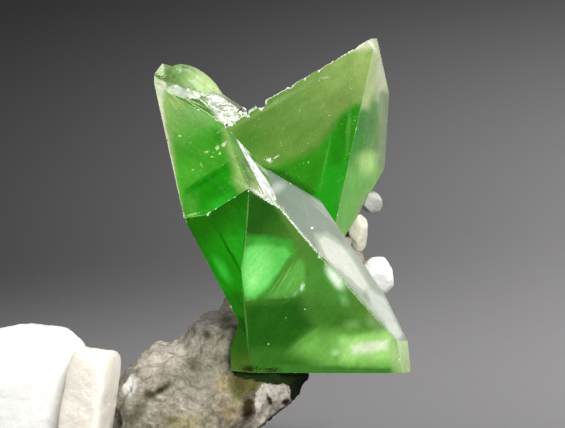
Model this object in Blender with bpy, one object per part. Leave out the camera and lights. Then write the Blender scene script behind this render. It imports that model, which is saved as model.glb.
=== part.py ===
"""Titanite twin on a piece of rock matrix, with feldspar crystals.

The titanite is two wedge-shaped individuals grown together in one V-shaped twin.
Each individual is a block bounded by flat facets. A facet is an outward normal and
its distance in mm from the individual's centre. The rock is a fused mass of lumps
with a broken, grainy surface, sawn flat underneath. Feldspar crystals sit in it.
Metres, +Z up, front towards -Y, origin at the centre of the underside.
"""
import math

import bmesh
import bpy
from mathutils import Euler, Matrix, Vector, noise

MM = 0.001
GAP = 0.3                 # mm left between the rock and each crystal seated in it

# Left individual of the twin: (normal x, y, z, distance from the centre in mm)
MAIN_CENTRE = (-0.9, 2.9, 19.7)
MAIN_FACETS = {
    "upper_left": (-0.308, -0.893, 0.327, 5.07),
    "left_mid": (-0.089, -0.996, -0.027, 3.63),
    "left_low": (-0.233, -0.965, -0.118, 3.95),
    "right_front": (0.308, -0.949, -0.065, 2.73),
    "band": (0.766, -0.403, 0.502, 3.04),
    "glare": (0.600, -0.585, 0.546, 3.57),
    "top_bevel": (0.181, -0.484, 0.856, 7.37),
    "left_edge": (-0.955, 0.104, -0.279, 4.88),
    "left_back": (-0.790, 0.489, -0.371, 3.31),
    "low_left": (-0.828, 0.359, -0.431, 3.08),
    "band_far": (0.374, 0.883, 0.282, 4.24),
    "band_low": (0.627, 0.774, 0.091, 6.93),
    "base": (-0.034, -0.089, -0.995, 9.32),
    "right_end": (0.840, -0.538, 0.069, 6.82),
    "crest": (0.278, 0.051, 0.959, 9.81),
    "crest_low": (0.541, -0.030, 0.841, 6.61),
    "back": (0.153, 0.979, -0.138, 4.70),
}
# The re-entrant of the twin: what is missing from the left individual
NOTCH_CENTRE = (-1.5, 2.6, 25.0)
NOTCH_FACETS = {
    "upper_side": (-0.728, -0.226, -0.647, 0.11),
    "long_side": (-0.310, -0.331, -0.891, 0.26),
    "crest_side": (-0.759, 0.059, 0.649, 3.84),
}
# Right individual of the twin, the steep wedge with the tip
RIGHT_CENTRE = (2.4, 8.7, 26.2)
RIGHT_FACETS = {
    "front": (0.612, -0.786, 0.094, 1.93),
    "back": (-0.697, 0.650, 0.302, 0.39),
    "side": (0.908, -0.411, -0.084, 2.63),
    "side_back": (-0.472, 0.876, 0.101, 2.23),
    "low_right": (0.840, -0.043, -0.541, 5.63),
    "tip": (0.180, -0.151, 0.972, 7.52),
    "left": (-1.000, 0.030, -0.004, 6.05),
    "base": (0.006, -0.242, -0.970, 9.17),
    "corner": (0.074, -0.679, 0.730, 5.80),
    "rear": (0.000, 0.990, -0.139, 5.99),
}
# The foot by which the twin stands in the rock; it shares the left individual's
# right_front and base facets
FOOT_CENTRE = (-2.2, 1.8, 12.0)
FOOT_SHARES = ("right_front", "base")
FOOT_FACETS = {
    "left_front": (-0.468, -0.871, -0.146, 1.54),
    "left": (-0.999, 0.001, -0.037, 1.51),
    "left_top": (-0.948, 0.065, 0.311, 1.42),
    "top": (0.020, 0.169, 0.985, 2.03),
    "right": (0.990, 0.015, 0.137, 3.61),
    "back": (-0.102, 0.985, -0.138, 2.58),
}
# Rounded lobe behind the left individual's crest
LOBE_CENTRE = (-6.2, 5.6, 29.95)
LOBE_RADII = (2.6, 1.4, 1.5)
LOBE_TURN = 43.0
# Chips broken out of the right individual's roof edge: (centre, size, turn about X, Y, Z)
ROOF_CHIPS = (
    ((-1.55, 3.2, 29.72), 0.55, (20, 40, 10)),
    ((0.52, 4.95, 31.02), 0.60, (35, 15, 50)),
    ((3.10, 6.65, 32.55), 0.62, (10, 50, 25)),
    ((-7.95, 4.15, 31.35), 0.45, (30, 20, 15)),
)

# Rock matrix: fused lumps as (centre x, y, z, radius x, y, z) in mm. The low ones
# are broken off along the flat faces of ROCK_BREAKS, the high ones form the spur.
ROCK_LOW = (
    (-17.6, 5.8, 3.6, 9.6, 8.6, 5.4),
    (-8.5, 5.8, 5.7, 7.5, 8.2, 5.9),
    (-4.0, 6.7, 9.4, 3.7, 4.4, 4.5),
    (-1.9, 4.0, 8.9, 3.6, 4.6, 1.7),
    (-3.3, 3.9, 7.4, 3.1, 5.2, 2.9),
    (-5.8, 4.8, 4.1, 3.9, 7.2, 4.3),
)
ROCK_SPUR = (
    (-1.5, 9.7, 11.4, 3.7, 3.2, 4.4),
    (1.7, 10.6, 15.1, 3.3, 3.0, 3.8),
    (3.4, 11.4, 18.0, 2.2, 2.4, 2.8),
    (5.0, 10.9, 16.3, 1.6, 1.5, 1.7),
)
ROCK_CENTRE = (-10.0, 5.8, 6.0)
ROCK_BREAKS = {
    "left": (-0.95, -0.12, 0.28, 15.3),
    "left_back": (-0.60, 0.75, 0.28, 11.2),
    "back": (0.10, 0.97, 0.20, 7.0),
    "front": (-0.15, -0.97, 0.15, 7.4),
    "front_right": (0.60, -0.78, -0.15, 9.3),
    "top_left": (-0.45, -0.10, 0.88, 5.6),
    "top_back": (-0.20, 0.60, 0.77, 6.0),
}
ROCK_VOXEL = 0.42
ROCK_ROUGH = ((2.6, 0.55), (1.1, 0.30), (0.5, 0.12))   # (grain size, depth) in mm
ROCK_TRIANGLES = 4200
BASE_Z = 0.0
MERGE = 0.03

# Feldspar crystals: centre, half sizes and turn in degrees
FELDSPAR_LARGE = ((-18.1, 2.6, 8.5), (3.9, 3.5, 4.3), (12, -9, 24))
FELDSPAR_SMALL = ((-13.4, -1.2, 8.8), (1.7, 2.1, 3.9), (-6, 7, -18))
FELDSPAR_BEVEL = 0.45
BEADS = {
    "feldspar_bead_upper": ((6.50, 12.20, 21.10), (0.80, 0.85, 0.80), (0, 10, 0)),
    "feldspar_bead_middle": ((5.55, 10.90, 19.00), (0.80, 0.95, 1.30), (0, 8, 0)),
    "feldspar_bead_lower": ((7.10, 9.30, 16.00), (1.25, 1.25, 1.36), (0, -12, 0)),
}

COLOURS = {
    "titanite_crystal": (0.20, 0.55, 0.08, 1.0),
    "matrix_rock": (0.36, 0.33, 0.27, 1.0),
    "feldspar": (0.82, 0.79, 0.70, 1.0),
}


def clear_scene():
    """Remove every object of the start-up scene."""
    for obj in list(bpy.data.objects):
        bpy.data.objects.remove(obj, do_unlink=True)


def make_material(name, colour, roughness):
    """A plain Principled material."""
    mat = bpy.data.materials.new(name)
    mat.use_nodes = True
    shader = mat.node_tree.nodes["Principled BSDF"]
    shader.inputs["Base Color"].default_value = colour
    shader.inputs["Roughness"].default_value = roughness
    mat.diffuse_color = colour
    return mat


def to_object(bm, name):
    """Turn a bmesh in mm into an object in metres."""
    bmesh.ops.recalc_face_normals(bm, faces=bm.faces)
    bmesh.ops.scale(bm, vec=(MM, MM, MM), verts=bm.verts)
    mesh = bpy.data.meshes.new(name)
    bm.to_mesh(mesh)
    bm.free()
    obj = bpy.data.objects.new(name, mesh)
    bpy.context.collection.objects.link(obj)
    return obj


def facet_body(name, centre, facets, grow=0.0):
    """A convex block: a large cube cut by every facet, moved out by grow mm."""
    bm = bmesh.new()
    bmesh.ops.create_cube(bm, size=60.0)
    bmesh.ops.translate(bm, vec=centre, verts=bm.verts)
    mid = Vector(centre)
    for nx, ny, nz, distance in facets.values():
        normal = Vector((nx, ny, nz)).normalized()
        geometry = list(bm.verts) + list(bm.edges) + list(bm.faces)
        cut = bmesh.ops.bisect_plane(bm, geom=geometry, dist=1e-5, clear_outer=True,
                                     plane_co=mid + normal * (distance + grow), plane_no=normal)
        rim = [e for e in cut["geom_cut"] if isinstance(e, bmesh.types.BMEdge)]
        if rim:
            bmesh.ops.edgeloop_fill(bm, edges=rim)
    bmesh.ops.remove_doubles(bm, verts=bm.verts, dist=1e-4)
    return to_object(bm, name)


def block(name, centre, half, turn, corners):
    """A rectangular crystal with some of its corners cut away."""
    bm = bmesh.new()
    bmesh.ops.create_cube(bm, size=2.0)
    bmesh.ops.scale(bm, vec=half, verts=bm.verts)
    for nx, ny, nz, share in corners:
        normal = Vector((nx, ny, nz)).normalized()
        reach = sum(abs(n * h) for n, h in zip(normal, half)) * share
        geometry = list(bm.verts) + list(bm.edges) + list(bm.faces)
        cut = bmesh.ops.bisect_plane(bm, geom=geometry, dist=1e-5, clear_outer=True,
                                     plane_co=normal * reach, plane_no=normal)
        rim = [e for e in cut["geom_cut"] if isinstance(e, bmesh.types.BMEdge)]
        if rim:
            bmesh.ops.edgeloop_fill(bm, edges=rim)
    angles = Euler([math.radians(a) for a in turn])
    bmesh.ops.rotate(bm, cent=(0, 0, 0), matrix=angles.to_matrix(), verts=bm.verts)
    bmesh.ops.translate(bm, vec=centre, verts=bm.verts)
    return to_object(bm, name)


def ball(name, centre, radii, turn, levels=3, rough=0.0, seed=0.0):
    """An ellipsoid, roughened a little by smooth noise."""
    bm = bmesh.new()
    bmesh.ops.create_icosphere(bm, subdivisions=levels, radius=1.0)
    for vert in bm.verts:
        bump = noise.noise(vert.co * 1.7 + Vector((seed, seed * 0.5, -seed)))
        vert.co *= 1.0 + rough * bump
    bmesh.ops.scale(bm, vec=radii, verts=bm.verts)
    angles = Euler([math.radians(a) for a in turn])
    bmesh.ops.rotate(bm, cent=(0, 0, 0), matrix=angles.to_matrix(), verts=bm.verts)
    bmesh.ops.translate(bm, vec=centre, verts=bm.verts)
    return to_object(bm, name)


def settle(obj):
    """Apply an object's modifiers."""
    graph = bpy.context.evaluated_depsgraph_get()
    graph.update()
    mesh = bpy.data.meshes.new_from_object(obj.evaluated_get(graph))
    obj.modifiers.clear()
    obj.data = mesh


def combine(obj, others, operation):
    """Join or cut obj with each of the others, which are used up."""
    for other in others:
        other.hide_render = True
        other.display_type = "WIRE"
        step = obj.modifiers.new(operation.lower(), "BOOLEAN")
        step.operation = operation
        step.solver = "EXACT"
        step.object = other
        settle(obj)
        bpy.data.objects.remove(other, do_unlink=True)


def bevel(obj, width, segments):
    """Round an object's edges."""
    step = obj.modifiers.new("bevel", "BEVEL")
    step.width = width * MM
    step.segments = segments
    step.limit_method = "ANGLE"
    step.angle_limit = math.radians(20)
    settle(obj)


def merge_flat(obj):
    """Join faces that lie in one plane."""
    bm = bmesh.new()
    bm.from_mesh(obj.data)
    bmesh.ops.remove_doubles(bm, verts=bm.verts, dist=1e-6)
    bmesh.ops.dissolve_limit(bm, angle_limit=math.radians(0.3), verts=bm.verts,
                             edges=bm.edges, use_dissolve_boundaries=False)
    bm.to_mesh(obj.data)
    bm.free()


def tidy(obj):
    """Merge points that a cut left almost on top of each other."""
    bm = bmesh.new()
    bm.from_mesh(obj.data)
    bmesh.ops.triangulate(bm, faces=bm.faces)
    bmesh.ops.remove_doubles(bm, verts=bm.verts, dist=MERGE * MM)
    bmesh.ops.dissolve_degenerate(bm, edges=bm.edges, dist=MERGE * MM)
    bmesh.ops.triangulate(bm, faces=bm.faces)
    bm.to_mesh(obj.data)
    bm.free()


def keep_largest(obj):
    """Drop the loose crumbs that a cut leaves behind."""
    bm = bmesh.new()
    bm.from_mesh(obj.data)
    left = set(bm.verts)
    groups = []
    while left:
        front = [left.pop()]
        group = set(front)
        while front:
            vert = front.pop()
            for edge in vert.link_edges:
                other = edge.other_vert(vert)
                if other in left:
                    left.discard(other)
                    group.add(other)
                    front.append(other)
        groups.append(group)
    groups.sort(key=len)
    crumbs = [v for group in groups[:-1] for v in group]
    bmesh.ops.delete(bm, geom=crumbs, context="VERTS")
    bm.to_mesh(obj.data)
    bm.free()


def foot_facets():
    """The foot's own facets and those it shares with the left individual."""
    facets = dict(FOOT_FACETS)
    shift = Vector(MAIN_CENTRE) - Vector(FOOT_CENTRE)
    for name in FOOT_SHARES:
        nx, ny, nz, distance = MAIN_FACETS[name]
        normal = Vector((nx, ny, nz)).normalized()
        facets[name] = (nx, ny, nz, distance + normal.dot(shift))
    return facets


def make_titanite():
    """The whole twin as one solid."""
    twin = facet_body("titanite_crystal", MAIN_CENTRE, MAIN_FACETS)
    combine(twin, [facet_body("notch", NOTCH_CENTRE, NOTCH_FACETS)], "DIFFERENCE")
    right = facet_body("right", RIGHT_CENTRE, RIGHT_FACETS)
    foot = facet_body("foot", FOOT_CENTRE, foot_facets())
    lobe = ball("lobe", LOBE_CENTRE, LOBE_RADII, (0, LOBE_TURN, 0))
    combine(twin, [right, foot, lobe], "UNION")
    chips = []
    for number, (centre, size, turn) in enumerate(ROOF_CHIPS):
        chips.append(block("chip_%d" % number, centre, (size, size, size), turn, ()))
    combine(twin, chips, "DIFFERENCE")
    keep_largest(twin)
    merge_flat(twin)
    return twin


def titanite_room():
    """The space that the rock and the feldspar leave free for the twin."""
    return [facet_body("room_main", MAIN_CENTRE, MAIN_FACETS, GAP),
            facet_body("room_right", RIGHT_CENTRE, RIGHT_FACETS, GAP),
            facet_body("room_foot", FOOT_CENTRE, foot_facets(), GAP)]


CORNERS_LARGE = ((1, 1, 1, 0.78), (-1, 0.6, 1, 0.80), (0.2, -1, 1, 0.82), (1, -1, -0.4, 0.84))
CORNERS_SMALL = ((1, -1, 0.5, 0.84), (-1, -1, 0.3, 0.88), (-0.4, 1, 1, 0.86))


def make_feldspar_large(grow=0.0):
    """The big pale crystal at the left."""
    centre, half, turn = FELDSPAR_LARGE
    name = "feldspar_crystal_large"
    half = tuple(h + grow for h in half)
    crystal = block(name, centre, half, turn, CORNERS_LARGE)
    if grow == 0.0:
        bevel(crystal, FELDSPAR_BEVEL * 1.6, 2)
    return crystal


def make_feldspar_small(grow=0.0):
    """The blocky crystal in front of it."""
    centre, half, turn = FELDSPAR_SMALL
    half = tuple(h + grow for h in half)
    crystal = block("feldspar_crystal_small", centre, half, turn, CORNERS_SMALL)
    if grow == 0.0:
        combine(crystal, [make_feldspar_large(GAP)], "DIFFERENCE")
        keep_largest(crystal)
        bevel(crystal, FELDSPAR_BEVEL * 0.6, 2)
    return crystal


def make_bead(name, grow=0.0):
    """One of the small rounded feldspar crystals beside the twin."""
    centre, radii, turn = BEADS[name]
    radii = tuple(r + grow for r in radii)
    bead = ball(name, centre, radii, turn, 3, 0.12, len(name) * 0.37)
    if grow == 0.0:
        combine(bead, titanite_room(), "DIFFERENCE")
        keep_largest(bead)
    return bead


def make_rock():
    """The matrix: lumps fused, roughened, sawn flat and cut clear of every crystal."""
    low = [ball("low_%d" % n, v[:3], v[3:], (0, 0, 0)) for n, v in enumerate(ROCK_LOW)]
    spur = [ball("spur_%d" % n, v[:3], v[3:], (0, 0, 0)) for n, v in enumerate(ROCK_SPUR)]
    rock = low.pop(0)
    rock.name = "matrix_rock"
    combine(rock, low, "UNION")
    combine(rock, [facet_body("breaks", ROCK_CENTRE, ROCK_BREAKS)], "INTERSECT")
    combine(rock, spur, "UNION")
    fuse = rock.modifiers.new("fuse", "REMESH")
    fuse.mode = "VOXEL"
    fuse.voxel_size = ROCK_VOXEL * MM
    smooth = rock.modifiers.new("smooth", "SMOOTH")
    smooth.factor = 0.5
    smooth.iterations = 6
    settle(rock)
    bm = bmesh.new()
    bm.from_mesh(rock.data)
    bm.normal_update()
    moves = []
    for vert in bm.verts:
        spot = vert.co / MM
        depth = 0.0
        for size, amount in ROCK_ROUGH:
            depth += amount * noise.noise(spot / size + Vector((size, 3.1, -size)))
        moves.append(vert.normal * (depth * MM))
    for vert, move in zip(bm.verts, moves):
        vert.co += move
    bm.to_mesh(rock.data)
    bm.free()
    triangles = 2 * len(rock.data.polygons)
    thin = rock.modifiers.new("thin", "DECIMATE")
    thin.ratio = min(1.0, ROCK_TRIANGLES / triangles)
    settle(rock)
    saw = facet_body("saw", (0, 0, BASE_Z - 30.0), {"top": (0, 0, 1, 30.0)})
    room = [saw, make_feldspar_large(GAP), make_feldspar_small(GAP)]
    room += [make_bead(name, GAP) for name in BEADS]
    combine(rock, room + titanite_room(), "DIFFERENCE")
    keep_largest(rock)
    tidy(rock)
    return rock


def centre_on_base(objects):
    """Parent everything to an empty so that the origin is mid-underside."""
    points = [v.co for obj in objects for v in obj.data.vertices]
    low = [min(p[i] for p in points) for i in range(3)]
    high = [max(p[i] for p in points) for i in range(3)]
    middle = Vector(((low[0] + high[0]) / 2, (low[1] + high[1]) / 2, low[2]))
    for obj in objects:
        obj.data.transform(Matrix.Translation(-middle))


def main():
    clear_scene()
    titanite = make_titanite()
    large = make_feldspar_large()
    small = make_feldspar_small()
    beads = [make_bead(name) for name in BEADS]
    rock = make_rock()
    titanite.data.materials.clear()
    titanite.data.materials.append(
        make_material("titanite", COLOURS["titanite_crystal"], 0.12))
    rock.data.materials.clear()
    rock.data.materials.append(make_material("rock", COLOURS["matrix_rock"], 0.85))
    for number, obj in enumerate([large, small] + beads):
        obj.data.materials.clear()
        mat = make_material("feldspar_%d" % number, COLOURS["feldspar"], 0.45)
        obj.data.materials.append(mat)
    centre_on_base([titanite, rock, large, small] + beads)


main()
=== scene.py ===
"""Titanite specimen: a green transparent twin standing in speckled rock with feldspar.

Lengths in the tables are mm in the rock's own frame, whose zero is under the twin.
"""
import math
from functools import partialmethod

import bmesh
import bpy
import numpy as np
from bpy.props import FloatProperty, FloatVectorProperty, IntProperty, PointerProperty
from bpy.types import Operator, Panel, PropertyGroup
from mathutils import Matrix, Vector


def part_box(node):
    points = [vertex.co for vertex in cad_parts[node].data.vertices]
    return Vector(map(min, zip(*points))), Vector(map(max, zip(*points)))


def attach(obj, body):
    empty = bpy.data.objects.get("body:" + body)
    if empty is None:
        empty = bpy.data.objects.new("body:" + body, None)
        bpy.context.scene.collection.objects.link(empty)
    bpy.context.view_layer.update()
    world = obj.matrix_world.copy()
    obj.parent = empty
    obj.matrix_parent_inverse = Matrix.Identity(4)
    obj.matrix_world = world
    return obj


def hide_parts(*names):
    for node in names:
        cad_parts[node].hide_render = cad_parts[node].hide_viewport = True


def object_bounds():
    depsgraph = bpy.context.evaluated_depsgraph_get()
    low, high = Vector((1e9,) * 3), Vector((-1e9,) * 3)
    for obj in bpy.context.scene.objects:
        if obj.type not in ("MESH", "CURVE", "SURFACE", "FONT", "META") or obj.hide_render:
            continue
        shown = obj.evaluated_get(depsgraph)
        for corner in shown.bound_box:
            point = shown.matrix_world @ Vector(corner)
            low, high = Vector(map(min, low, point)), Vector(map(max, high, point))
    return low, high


bl_info = {
    "name": "Titanite Specimen",
    "version": (1, 0, 0),
    "blender": (4, 5, 0),
    "location": "View3D > Sidebar > Specimen",
    "description": "Builds a titanite twin on rock matrix with feldspar crystals",
    "category": "Add Mesh",
}

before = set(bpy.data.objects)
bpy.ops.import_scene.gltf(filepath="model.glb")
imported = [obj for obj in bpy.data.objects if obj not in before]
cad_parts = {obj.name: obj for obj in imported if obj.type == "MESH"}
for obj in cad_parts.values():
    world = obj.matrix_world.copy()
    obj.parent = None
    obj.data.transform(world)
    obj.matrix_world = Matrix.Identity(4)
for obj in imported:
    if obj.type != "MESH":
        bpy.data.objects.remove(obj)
CAD_BOX = [list(map(float, corner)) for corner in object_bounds()]

MM = 0.001
MERGE = 1e-6                                    # m between points that are one point
TWIN_LOW = np.array((-9.163, -0.733, 9.83))     # low corner of the twin's box in the rock's own frame
HOME = np.array(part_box("titanite_crystal")[0]) / MM - TWIN_LOW  # the rock's own zero in the shared frame, mm
TILT = math.radians(8.0)                        # of the camera, and of the plane that the patches lie in
ACROSS = np.array((1.0, 0.0, 0.0))
UPWARD = np.array((0.0, math.sin(TILT), math.cos(TILT)))

# ---------------------------------------------------------------- sizes and places

# Facets of the twin: outward normal and distance in mm from the individual's centre
MAIN_CENTRE = (-0.9, 2.9, 19.7)
MAIN_FACETS = {
    "upper_left": (-0.308, -0.893, 0.327, 5.07),
    "left_mid": (-0.089, -0.996, -0.027, 3.63),
    "left_low": (-0.233, -0.965, -0.118, 3.95),
    "right_front": (0.308, -0.949, -0.065, 2.73),
    "band": (0.766, -0.403, 0.502, 3.04),
    "glare": (0.6, -0.585, 0.546, 3.57),
    "top_bevel": (0.181, -0.484, 0.856, 7.37),
    "left_edge": (-0.955, 0.104, -0.279, 4.88),
    "left_back": (-0.79, 0.489, -0.371, 3.31),
    "low_left": (-0.828, 0.359, -0.431, 3.08),
    "band_far": (0.374, 0.883, 0.282, 4.24),
    "band_low": (0.627, 0.774, 0.091, 6.93),
    "base": (-0.034, -0.089, -0.995, 9.32),
    "right_end": (0.84, -0.538, 0.069, 6.82),
    "crest": (0.278, 0.051, 0.959, 9.81),
    "crest_low": (0.541, -0.03, 0.841, 6.61),
    "back": (0.153, 0.979, -0.138, 4.7),
}
RIGHT_CENTRE = (2.4, 8.7, 26.2)
RIGHT_FACETS = {
    "front": (0.612, -0.786, 0.094, 1.93),
    "back": (-0.697, 0.65, 0.302, 0.39),
    "side": (0.908, -0.411, -0.084, 2.63),
    "side_back": (-0.472, 0.876, 0.101, 2.23),
    "low_right": (0.84, -0.043, -0.541, 5.63),
    "tip": (0.18, -0.151, 0.972, 7.52),
    "left": (-1.0, 0.03, -0.004, 6.05),
    "base": (0.006, -0.242, -0.97, 9.17),
    "corner": (0.074, -0.679, 0.73, 5.8),
    "rear": (0.0, 0.99, -0.139, 5.99),
}
FOOT_CENTRE = (-2.2, 1.8, 12.0)
FOOT_FACETS = {
    "front": (0.308, -0.949, -0.065, 1.586),
    "left_front": (-0.468, -0.871, -0.146, 1.54),
    "left": (-0.999, 0.001, -0.037, 1.51),
    "left_top": (-0.948, 0.065, 0.311, 1.42),
    "top": (0.02, 0.169, 0.985, 2.03),
    "right": (0.99, 0.015, 0.137, 3.61),
    "base": (-0.034, -0.089, -0.995, 1.513),
    "back": (-0.102, 0.985, -0.138, 2.58),
}
BODIES = ((MAIN_CENTRE, MAIN_FACETS), (RIGHT_CENTRE, RIGHT_FACETS), (FOOT_CENTRE, FOOT_FACETS))

# Worn lines along the twin's edges: start and end in mm, chips for each mm, their radius and their depth
WEAR = (
    ((-3.9, 1.6, 28.2), (6.4, 10.2, 33.4), 11.0, 0.13, 0.055),  # roof edge of the right individual
    ((5.6, 9.6, 33.1), (7.0, 10.9, 33.4), 9.0, 0.07, 0.02),  # its tip
    ((-0.2, 0.05, 22.5), (3.0, 1.4, 18.6), 12.0, 0.07, 0.03),  # upper half of the ridge
    ((3.0, 1.4, 18.6), (8.2, 3.5, 12.4), 3.0, 0.06, 0.02),  # lower half of the ridge
    ((-4.1, 1.4, 28.1), (-3.7, 1.0, 27.0), 6.0, 0.06, 0.025),  # front edge under the notch
    ((-3.7, 1.0, 27.0), (-2.3, -0.7, 23.9), 0.6, 0.05, 0.015),  # its clean lower part
    ((-2.3, -0.7, 23.9), (-0.2, 0.05, 22.5), 13.0, 0.1, 0.045),  # sugary corner
    ((-9.1, 4.1, 30.7), (-7.6, 3.3, 30.0), 7.0, 0.08, 0.03),  # edge of the head
    ((-7.6, 3.3, 30.0), (-5.0, 1.9, 28.6), 1.2, 0.06, 0.02),  # its clean middle
    ((-5.0, 1.9, 28.6), (-4.1, 1.4, 28.1), 7.0, 0.08, 0.03),  # its end at the notch
    ((-0.2, 0.05, 22.5), (-1.1, 1.5, 25.0), 8.0, 0.08, 0.03),  # fringe of the bright face
    ((-1.4, 1.4, 25.1), (-4.0, 1.4, 28.1), 5.0, 0.06, 0.025),  # notch edge
    ((-9.1, 4.1, 30.7), (-6.9, 0.0, 21.7), 4.0, 0.06, 0.025),  # left edge
    ((-9.2, 5.1, 31.3), (-7.4, 6.3, 31.6), 8.0, 0.12, 0.05),  # left point
    ((-2.35, -0.7, 23.7), (-2.9, -0.5, 18.2), 0.3, 0.05, 0.015),  # clean edge down the middle
    ((-2.9, -0.5, 18.2), (-2.2, 0.2, 10.7), 0.3, 0.05, 0.015),  # its lower half
)
# The same on every other edge: chips for each mm, their radius and their depth
CHIP_REST = (1.6, 0.055, 0.02)
# Broken ground on top of the head and at the sugary corner: corners in mm, chips for each square mm, their
# radius and their depth
BROKEN = (
    ((-5.6, 4.1, 30.0), (-4.7, 4.1, 29.8), (-3.0, 3.9, 29.3), (-5.0, 2.6, 29.0), 26.0, 0.17, 0.07),
    ((-5.0, 2.6, 29.0), (-3.0, 3.9, 29.3), (-2.6, 3.2, 28.8), (-4.1, 1.4, 28.1), 26.0, 0.15, 0.06),
    ((-8.1, 4.0, 30.5), (-7.2, 5.0, 30.8), (-5.6, 4.2, 30.0), (-6.1, 3.4, 29.7), 16.0, 0.12, 0.045),
    ((-2.0, -0.2, 24.1), (-1.0, 0.5, 23.8), (-0.4, 0.0, 22.6), (-1.4, -0.5, 23.2), 12.0, 0.08, 0.035),
)
# Grains of broken crystal that stand on the twin: a line in mm, how many, their radius and their spread
GRAINS = (
    ((-3.8, 1.9, 28.2), (-2.7, 3.1, 28.9), 34, 0.16, 0.12),
    ((-5.6, 3.9, 29.9), (-3.4, 3.2, 29.1), 22, 0.1, 0.11),
)
# Blunt corners that stand on the twin, in the same form; subdivided, so they are round
CORNERS = (
    ((-8.75, 4.95, 31.25), (-8.6, 5.0, 31.3), 2, 0.42, 0.0),
)
CHIP_SEED, BEAD_SEED = 12, 7
SHARP_EDGE, SHORT_EDGE = math.radians(18), 0.5  # an edge chips where it turns by more and is longer, in mm
FLAT_ENOUGH = math.radians(0.4)                 # faces that meet at less are one face
BEVELLED_EDGE = math.radians(12)                # edges that turn by more are bevelled
SAMPLE_STEP = 0.02                              # mm along an edge between the places that may be chipped
WORN_REACH = 0.35                               # mm from a worn line within which an edge is worn
FRONT_PULL = 0.45 * np.array((0.1, -0.9, 0.4))  # worn lines are cut a little towards the front
CHIP_SPREAD, BITE_SPREAD = 0.45, 0.5            # spread of the chips' sizes and depths, as natural logarithms
DEEPEST_BITE = 0.7                              # deepest cut against a chip's size
CHIP_LONG, CHIP_WIDE = (1.0, 2.8), (0.6, 1.1)   # length along the edge and width against a chip's size
CHIP_SWING, CHIP_TILT, CHIP_STRAY = 0.3, 0.25, 0.02  # disorder of a chip's run, its lean and its place
LUMPY = (0.75, 1.2)                             # how far in and out the corners of a lump stand
GRAIN_STRETCH, GRAIN_SPREAD = (0.7, 1.4), 0.35  # how a standing grain is drawn out, and the spread of sizes
GRAIN_SCATTER = (1.0, 0.8, 0.5)                 # how widely grains stray, against their line's own spread

# The rock is drawn back to two slopes: the way out of each, its distance in mm, the span in mm over which the
# change comes in, and the share of what stands out that is drawn back
RIGHT_SLOPE = 0.70 * ACROSS - 0.71 * UPWARD
RIGHT_REACH, RIGHT_SPAN, RIGHT_DRAW = -5.8, (4.0, 6.2), 1.25
SHOULDER_SLOPE = 0.555 * UPWARD - 0.83 * ACROSS
SHOULDER_REACH, SHOULDER_SPAN, SHOULDER_DRAW = 14.7, (-19.0, -15.5), 0.85
# Its broken surface: size in mm, seed, layers and fall of the noise
ROCK_BUMPS = (1.4, 11, 4, 0.55)
ROCK_CREASES, CREASE_SHARE = (2.6, 31, 3, 0.5), 0.5
COLLAR, COLLAR_SWELL = (0.3, 1.2), 0.34         # mm from the twin over which its collar ends, and the swell
TWIN_GAP, BOX_GAP, FOOT_FLAT = 0.03, 0.01, 0.12  # mm kept from the twin and from the box, and pressed flat

# Feldspar crystals: name, centre, half sizes, turn, sharpness, warm and pale colours, and the cut corners
# with the share of the reach that stays
FELDSPAR = {
    "feldspar_crystal_large": (
        "white_feldspar", (-18.1, 2.6, 8.5), (3.9, 3.5, 4.3), (12, -9, 24), 18.0,
        (0.95, 0.94, 0.91), (0.98, 0.98, 0.97),
        ((1, 1, 1, 0.78), (-1, 0.6, 1, 0.80), (0.2, -1, 1, 0.82), (1, -1, -0.4, 0.84))),
    "feldspar_crystal_small": (
        "cream_feldspar", (-13.6, -1.2, 8.8), (1.5, 1.9, 3.9), (-6, 7, -18), 8.0,
        (0.80, 0.73, 0.60), (0.93, 0.90, 0.84),
        ((1, -1, 0.5, 0.84), (-1, -1, 0.3, 0.88), (-0.4, 1, 1, 0.86))),
}
FELDSPAR_NOISE = (0.9, 5, 4)                    # size in mm, seed and layers of the etched faces
# Beads: name, centre, radii, warm and pale colours
BEADS = {
    # the upper bead's grey tones are painted shade on the same feldspar as the others
    "feldspar_bead_upper": (
        "shaded_bead_upper", (6.5, 12.2, 21.1), (0.8, 0.85, 0.8), (0.33, 0.33, 0.31), (0.40, 0.40, 0.38)),
    "feldspar_bead_middle": (
        "pale_bead_middle", (5.55, 10.9, 19.0), (0.8, 0.95, 1.3), (0.56, 0.54, 0.43), (0.66, 0.64, 0.54)),
    "feldspar_bead_lower": (
        "pale_bead_lower", (7.1, 9.3, 16.0), (1.25, 1.25, 1.36), (0.97, 0.97, 0.95), (0.99, 0.99, 0.98)),
}
BEAD_STEPS, BEAD_FACES, BEAD_SHARP = 72, 16, 14.0  # mesh steps round a bead, its flat faces, their sharpness
BEAD_REACH, BEAD_LIMIT = (0.8, 1.0), 1.15       # where its faces lie and how far its corners stand out
BEAD_NOISE, BEAD_ETCH = (0.5, 3, 3), 0.04       # size, seed and layers, and depth in mm
BEAD_SPARE = 0.1                                # mm that a bead may pass its CAD node's box
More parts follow.
